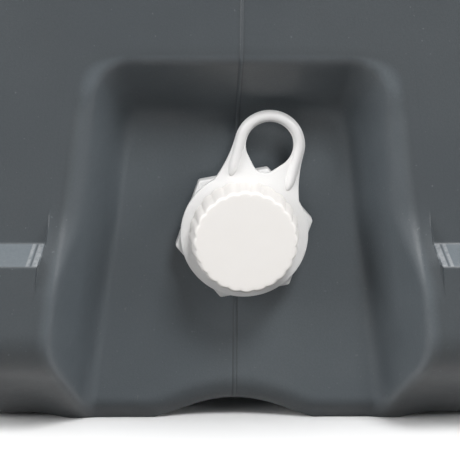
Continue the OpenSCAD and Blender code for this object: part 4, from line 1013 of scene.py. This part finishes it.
def build_seat():
    inner = oval(HOLE_A, HOLE_B, BOWL_Y, 2 / EGG_FRONT)
    outer = egg(SEAT_A, SEAT_FRONT, SEAT_REAR, 0)
    section = [
        (0.03, 0.22), (0.1, 0.03), (0.3, 0.03), (0.7, 0.03), (0.9, 0.03), (0.97, 0.22), (1, 0.5),
        (0.96, 0.78), (0.86, 0.93), (0.62, 1), (0.34, 0.98), (0.14, 0.86), (0.03, 0.68), (0, 0.45),
    ]
    line = spline(section, 5, True)
    rings = [lift(inner + (outer - inner) * u, SEAT_Z + q * SEAT_T) for u, q in line]
    pieces = [loft("seat_body", rings, True)]
    for x in (-LUG_IN - LUG_T, LUG_IN):
        lug = knuckle("lug", x, x + LUG_T, HINGE_Z - LUG_DROP, HINGE_Z, LUG_REACH)
        pieces.append(lug)
    show(join("seat_ring", pieces), GLOSS, "seat", ("seat",), SHARP_RING)


def build_lid():
    h, w, rim = LID_H, LID_WALL, -LID_SKIRT
    under = spline([
        (w + 40, h - w), (w + 14, h - w - 1.5), (w + 3, h - w - 8), (w, h - w - 14), (w, rim + 0.8),
    ], 5)
    over = spline([
        (0, rim + 0.8), (0, 2), (0.3, h - 12.5), (1.3, h - 8.2), (4, h - 5), (14, h - 1.6), (40, h),
    ], 6)
    lip = [(w - 0.8, rim), (0.8, rim)]
    path = [(w + 44, h - w), *under, *lip, *over, (44, h)]
    rings = [lift(egg(SEAT_A, SEAT_FRONT, SEAT_REAR, q - LID_GROW), LID_Z + z) for q, z in path]
    obj = loft("lid_body", rings)
    low, high = LID_Z - LID_SKIRT - 1, HINGE_Z + GAP
    carve(obj, [
        slab("notch", (x - GAP, HINGE_Y, low), (x + LUG_T + GAP, HINGE_Y + 4 * KNUCKLE_R, high))
        for x in (-LUG_IN - LUG_T, LUG_IN)
    ])
    half = EAR_IN - GAP
    reach = -HINGE_Y - SEAT_REAR + BOWL_Y + 2 * w
    arm = knuckle("lid_arm", -half, half, LID_Z, LID_Z + LID_ARM_T, reach)
    show(join("lid_shell", [obj, arm]), SLATE, "lid", ("lid",), SHARP_LEVER)


def build_hinge():
    r, half = KNUCKLE_R, HINGE_FOOT_HALF
    low = (-half, HINGE_Y - r - HINGE_FOOT_REAR, DECK)
    high = (half, HINGE_Y + r + HINGE_FOOT_FRONT, DECK + HINGE_FOOT_T)
    pieces = [ease(slab("foot", low, high), EDGE_FOOT)]
    base = [(HINGE_Y - r, DECK), (HINGE_Y + r, DECK)]
    line = np.vstack([base, arc(HINGE_Y, HINGE_Z, r, 0, 180, 33)])
    hole = circle(HINGE_Y, HINGE_Z, PIN_R, 48)
    for x in (-EAR_IN - EAR_T, EAR_IN):
        ear = ease(prism("ear", line, "x", x, x + EAR_T), EDGE_KNUCKLE)
        bore = prism("bore", hole, "x", x - CUT, x + EAR_T + CUT)
        pieces.append(carve(ear, [bore]))
    show(join("hinge_foot", pieces), WHITE, "flush_tank", ("hinge_bracket",))


# Handles, caps and latches


def build_valve_handle():
    r, start = GRIP_BAR, 0.15
    bar = [(0.0, -r)]
    bar += [(r * math.sin(a), -r * math.cos(a)) for a in np.linspace(start, np.pi / 2, 9)]
    bar += [(r - 0.5 * math.sin(math.pi * k), HANDLE_L * k) for k in np.linspace(0.04, 0.96, 15)]
    for a in np.linspace(0, np.pi / 2 - start, 9):
        bar.append((r * math.cos(a), HANDLE_L + r * math.sin(a)))
    bar.append((0.0, HANDLE_L + r))
    grip = lathe("pull_bar", bar, along_x(-HANDLE_L / 2, HANDLE_Y, HANDLE_Z), 64)
    low = (-NECK_HALF, HANDLE_Y - 2 * r, BLADE_Z)
    neck = slab("neck", low, (NECK_HALF, HANDLE_Y - r + NECK_TUCK, BLADE_Z + BLADE_T))
    show(carve(grip, [neck]), WHITE, "valve_blade", ("valve_handle",), SHARP_LEVER)


def build_pump_top():
    r, w, h = KNOB_R, KNOB_R * 0.62, KNOB_H
    side = spline([
        (w + 2, 0.8), (w + 0.4, 2.2), (w, 5), (w + 0.6, 8), (r - 1.4, 11), (r, 13.6), (r, 16),
        (r - 1.0, 18.2), (r - 4, 19.7), (r - 9, h), (r * 0.2, h),
    ], 5)
    base = [(0.0, h / 2), (ROD_R, h / 2), (ROD_R, 0.0), (w + 1.4, 0.0)]
    path = base + [tuple(q) for q in side] + [(0.0, h)]
    knob = lathe("knob_body", path, upright(PUMP_X, -PUMP_Y, KNOB_Z))
    show(knob, WHITE, "pump_plunger", ("pump_knob",), SHARP_CAP)

    r, h, e = COLLAR_R, COLLAR_H, 1.5
    path = [(ROD_R + RUN, 0), (r - 0.4, 0), (r, 0.4)]
    for a in np.linspace(0, np.pi / 2, 6):
        path.append((r - e + e * math.cos(a), h - e + e * math.sin(a)))
    path += [(ROD_R + 1.2, h), (ROD_R + RUN, h - 0.8)]
    collar = lathe("collar_body", path, upright(PUMP_X, -PUMP_Y, DECK))
    show(collar, WHITE, "flush_tank", ("pump_collar",), SHARP_CAP)


def build_fill_cap():
    place = upright(-PUMP_X, -PUMP_Y, FILL_CAP_Z)
    r_in = FILL_R + RUN
    cap = ribbed_cap(
        "fill_lid", FILL_CAP_H, FILL_CAP_R, FILL_CAP_R - 1, r_in, FILL_CAP_TOP_T, 0.0, place
    )
    show(cap, WHITE, "fill_cap", ("fill_cap",), SHARP_CAP)


def build_latches():
    k, t, z, x = LATCH_KNUCKLE, LATCH_T / 2, LATCH_Z, LATCH_X
    a = math.degrees(math.asin(t / k))
    tip, lip = z - LATCH_L, t + LATCH_LIP
    for side, name in ((1, "right_latch"), (-1, "left_latch")):
        line = np.vstack([
            arc(0, z, k, -90 + a, 270 - a, 36),
            [(-t, tip), (lip, tip), (lip, tip + LATCH_LIP_T), (t, tip + LATCH_LIP_T)],
        ])
        line[:, 0] = side * (x + line[:, 0])
        lever = ease(prism(name + "_lever", line, "y", -LATCH_W / 2, LATCH_W / 2), EDGE_LEVER)
        bore = prism("bore", circle(side * x, z, LATCH_PIN + RUN, 40), "y", -LATCH_W, LATCH_W)
        show(carve(lever, [bore]), WHITE, name, (name,), SHARP_LEVER)


build_waste_tank()
build_outlet()
build_flush_tank()
build_bowl()
build_seat()
build_lid()
build_hinge()
build_valve_handle()
build_pump_top()
build_fill_cap()
build_latches()

# Looks of the solids that stay as they are
LOOKS = {
    WHITE: (
        "outlet_fitting", "valve_base", "valve_cover", "valve_blade", "pump_barrel", "pump_piston",
        "pump_strainer", "flush_nozzle", "fill_neck",
    ),
    RUBBER: (
        "outlet_gasket", "drain_seal", "valve_seal", "seat_buffers", "lid_buffers", "pump_seal",
        "flush_tube", "fill_seal",
    ),
    STEEL: (
        "valve_screws", "latch_brackets", "latch_pins", "hinge_pin", "hinge_screws", "pump_rod",
    ),
}
for mat, names in LOOKS.items():
    for name in names:
        nodes[name].data.materials.clear()
        nodes[name].data.materials.append(mat)

# Stage, light and camera
# What the floor throws back at the object, the world's light on it, and where the floor turns white
BOUNCE, AMBIENT = 0.05, 0.03
FLOOR_NEAR, FLOOR_FAR, FLOOR_HALF = 0.4, 1.1, 6.0
FLOOR_TONES = (0.92, 0.92, 0.92), (0.89, 0.89, 0.89)


def looked_at(tree):
    """1 for rays that show a surface, straight, mirrored or through glass, and 0 for light."""
    path = tree.nodes.new("ShaderNodeLightPath")
    rays = [path.outputs[k] for k in ("Is Camera Ray", "Is Glossy Ray", "Is Transmission Ray")]
    shown = rays[0]
    for ray in rays[1:]:
        either = tree.nodes.new("ShaderNodeMath")
        either.operation = "MAXIMUM"
        tree.links.new(shown, either.inputs[0])
        tree.links.new(ray, either.inputs[1])
        shown = either.outputs[0]
    return shown


floor_mesh = bpy.data.meshes.new("floor")
corners = [(x * FLOOR_HALF, y * FLOOR_HALF, 0) for x, y in ((-1, -1), (1, -1), (1, 1), (-1, 1))]
floor_mesh.from_pydata(corners, [], [(0, 1, 2, 3)])
floor = bpy.data.objects.new("floor", floor_mesh)
bpy.context.scene.collection.objects.link(floor)
fl = Nodes("pale_floor")
shown = looked_at(fl.tree)
pale = fl.mix(fl.span(fl.noise(3.0, 3.0), 0.3, 0.7, 0.0, 0.3), *FLOOR_TONES)
fx, fy = fl.xyz()[:2]
away = fl.math("SQRT", fl.math("ADD", fl.math("MULTIPLY", fx, fx), fl.math("MULTIPLY", fy, fy)))
far = fl.span(away, FLOOR_NEAR, FLOOR_FAR)
pale = fl.mix(far, pale, (0.0, 0.0, 0.0))
fl.link(fl.mix(shown, (BOUNCE, BOUNCE, BOUNCE), pale), fl.bsdf.inputs["Base Color"])
fl.bsdf.inputs["Roughness"].default_value = 0.8
fl.bsdf.inputs["Specular IOR Level"].default_value = 0.1
fl.bsdf.inputs["Emission Color"].default_value = (1, 1, 1, 1)
fl.link(fl.math("MULTIPLY", shown, far), fl.bsdf.inputs["Emission Strength"])
floor_mesh.materials.append(fl.mat)

# Each soft box: place, aim and size in metres, power in watts
NICHE_AT, FRONT_AT = (0.0, -0.2, 0.1), (0.0, 0.1, 0.2)
BOXES = {
    "top_box": ((0.0, -0.45, 1.9), NICHE_AT, (2.0, 1.4), 4.0),
    "key_box": ((0.44, -1.49, 1.67), NICHE_AT, (0.6, 0.5), 31.0),
    "left_box": ((-1.75, -0.9, 0.85), NICHE_AT, (1.2, 1.2), 40.0),
    "right_box": ((1.75, -0.9, 0.85), NICHE_AT, (1.2, 1.2), 28.0),
    "back_box": ((-0.6, 2.2, 1.0), FRONT_AT, (1.6, 1.4), 14.0),
}
for name, (at, to, size, watts) in BOXES.items():
    data = bpy.data.lights.new(name, "AREA")
    data.shape = "RECTANGLE"
    data.size, data.size_y = size
    data.energy = watts
    lamp = bpy.data.objects.new(name, data)
    lamp.location = at
    lamp.rotation_mode = "QUATERNION"
    lamp.rotation_quaternion = (Vector(to) - Vector(at)).to_track_quat("-Z", "Y")
    bpy.context.scene.collection.objects.link(lamp)

world = bpy.data.worlds.new("studio")
bpy.context.scene.world = world
world.use_nodes = True
sky = world.node_tree
back_light = sky.nodes["Background"]
strength = sky.nodes.new("ShaderNodeMapRange")
sky.links.new(looked_at(sky), strength.inputs["Value"])
strength.inputs["To Min"].default_value = AMBIENT
strength.inputs["To Max"].default_value = 1.0
sky.links.new(strength.outputs["Result"], back_light.inputs["Strength"])
back_light.inputs["Color"].default_value = (1, 1, 1, 1)

scene = bpy.context.scene
scene.view_settings.view_transform = "Standard"

# The photograph's camera: the picture is PHOTO_PX wide, PX_MM millimetres a pixel at the aim
AZ, EL, ROLL = math.radians(-2.3), math.radians(12.5), math.radians(0.5)
DIST, SENSOR = 1.3, 36.0
AIM = Vector((-2.8, -160.0, 91.5)) * MM
PHOTO_PX, PX_MM = 460, 0.46
toward = Vector((math.sin(AZ) * math.cos(EL), -math.cos(AZ) * math.cos(EL), math.sin(EL)))
cam_data = bpy.data.cameras.new("camera")
cam_data.sensor_width = SENSOR
cam_data.lens = SENSOR * DIST / (PHOTO_PX * PX_MM * MM)
cam = bpy.data.objects.new("camera", cam_data)
cam.location = AIM + toward * DIST
cam.rotation_mode = "QUATERNION"
level = (-toward).to_track_quat("-Z", "Y")
cam.rotation_quaternion = level @ Quaternion((0.0, 0.0, 1.0), ROLL)
scene.collection.objects.link(cam)
scene.camera = cam
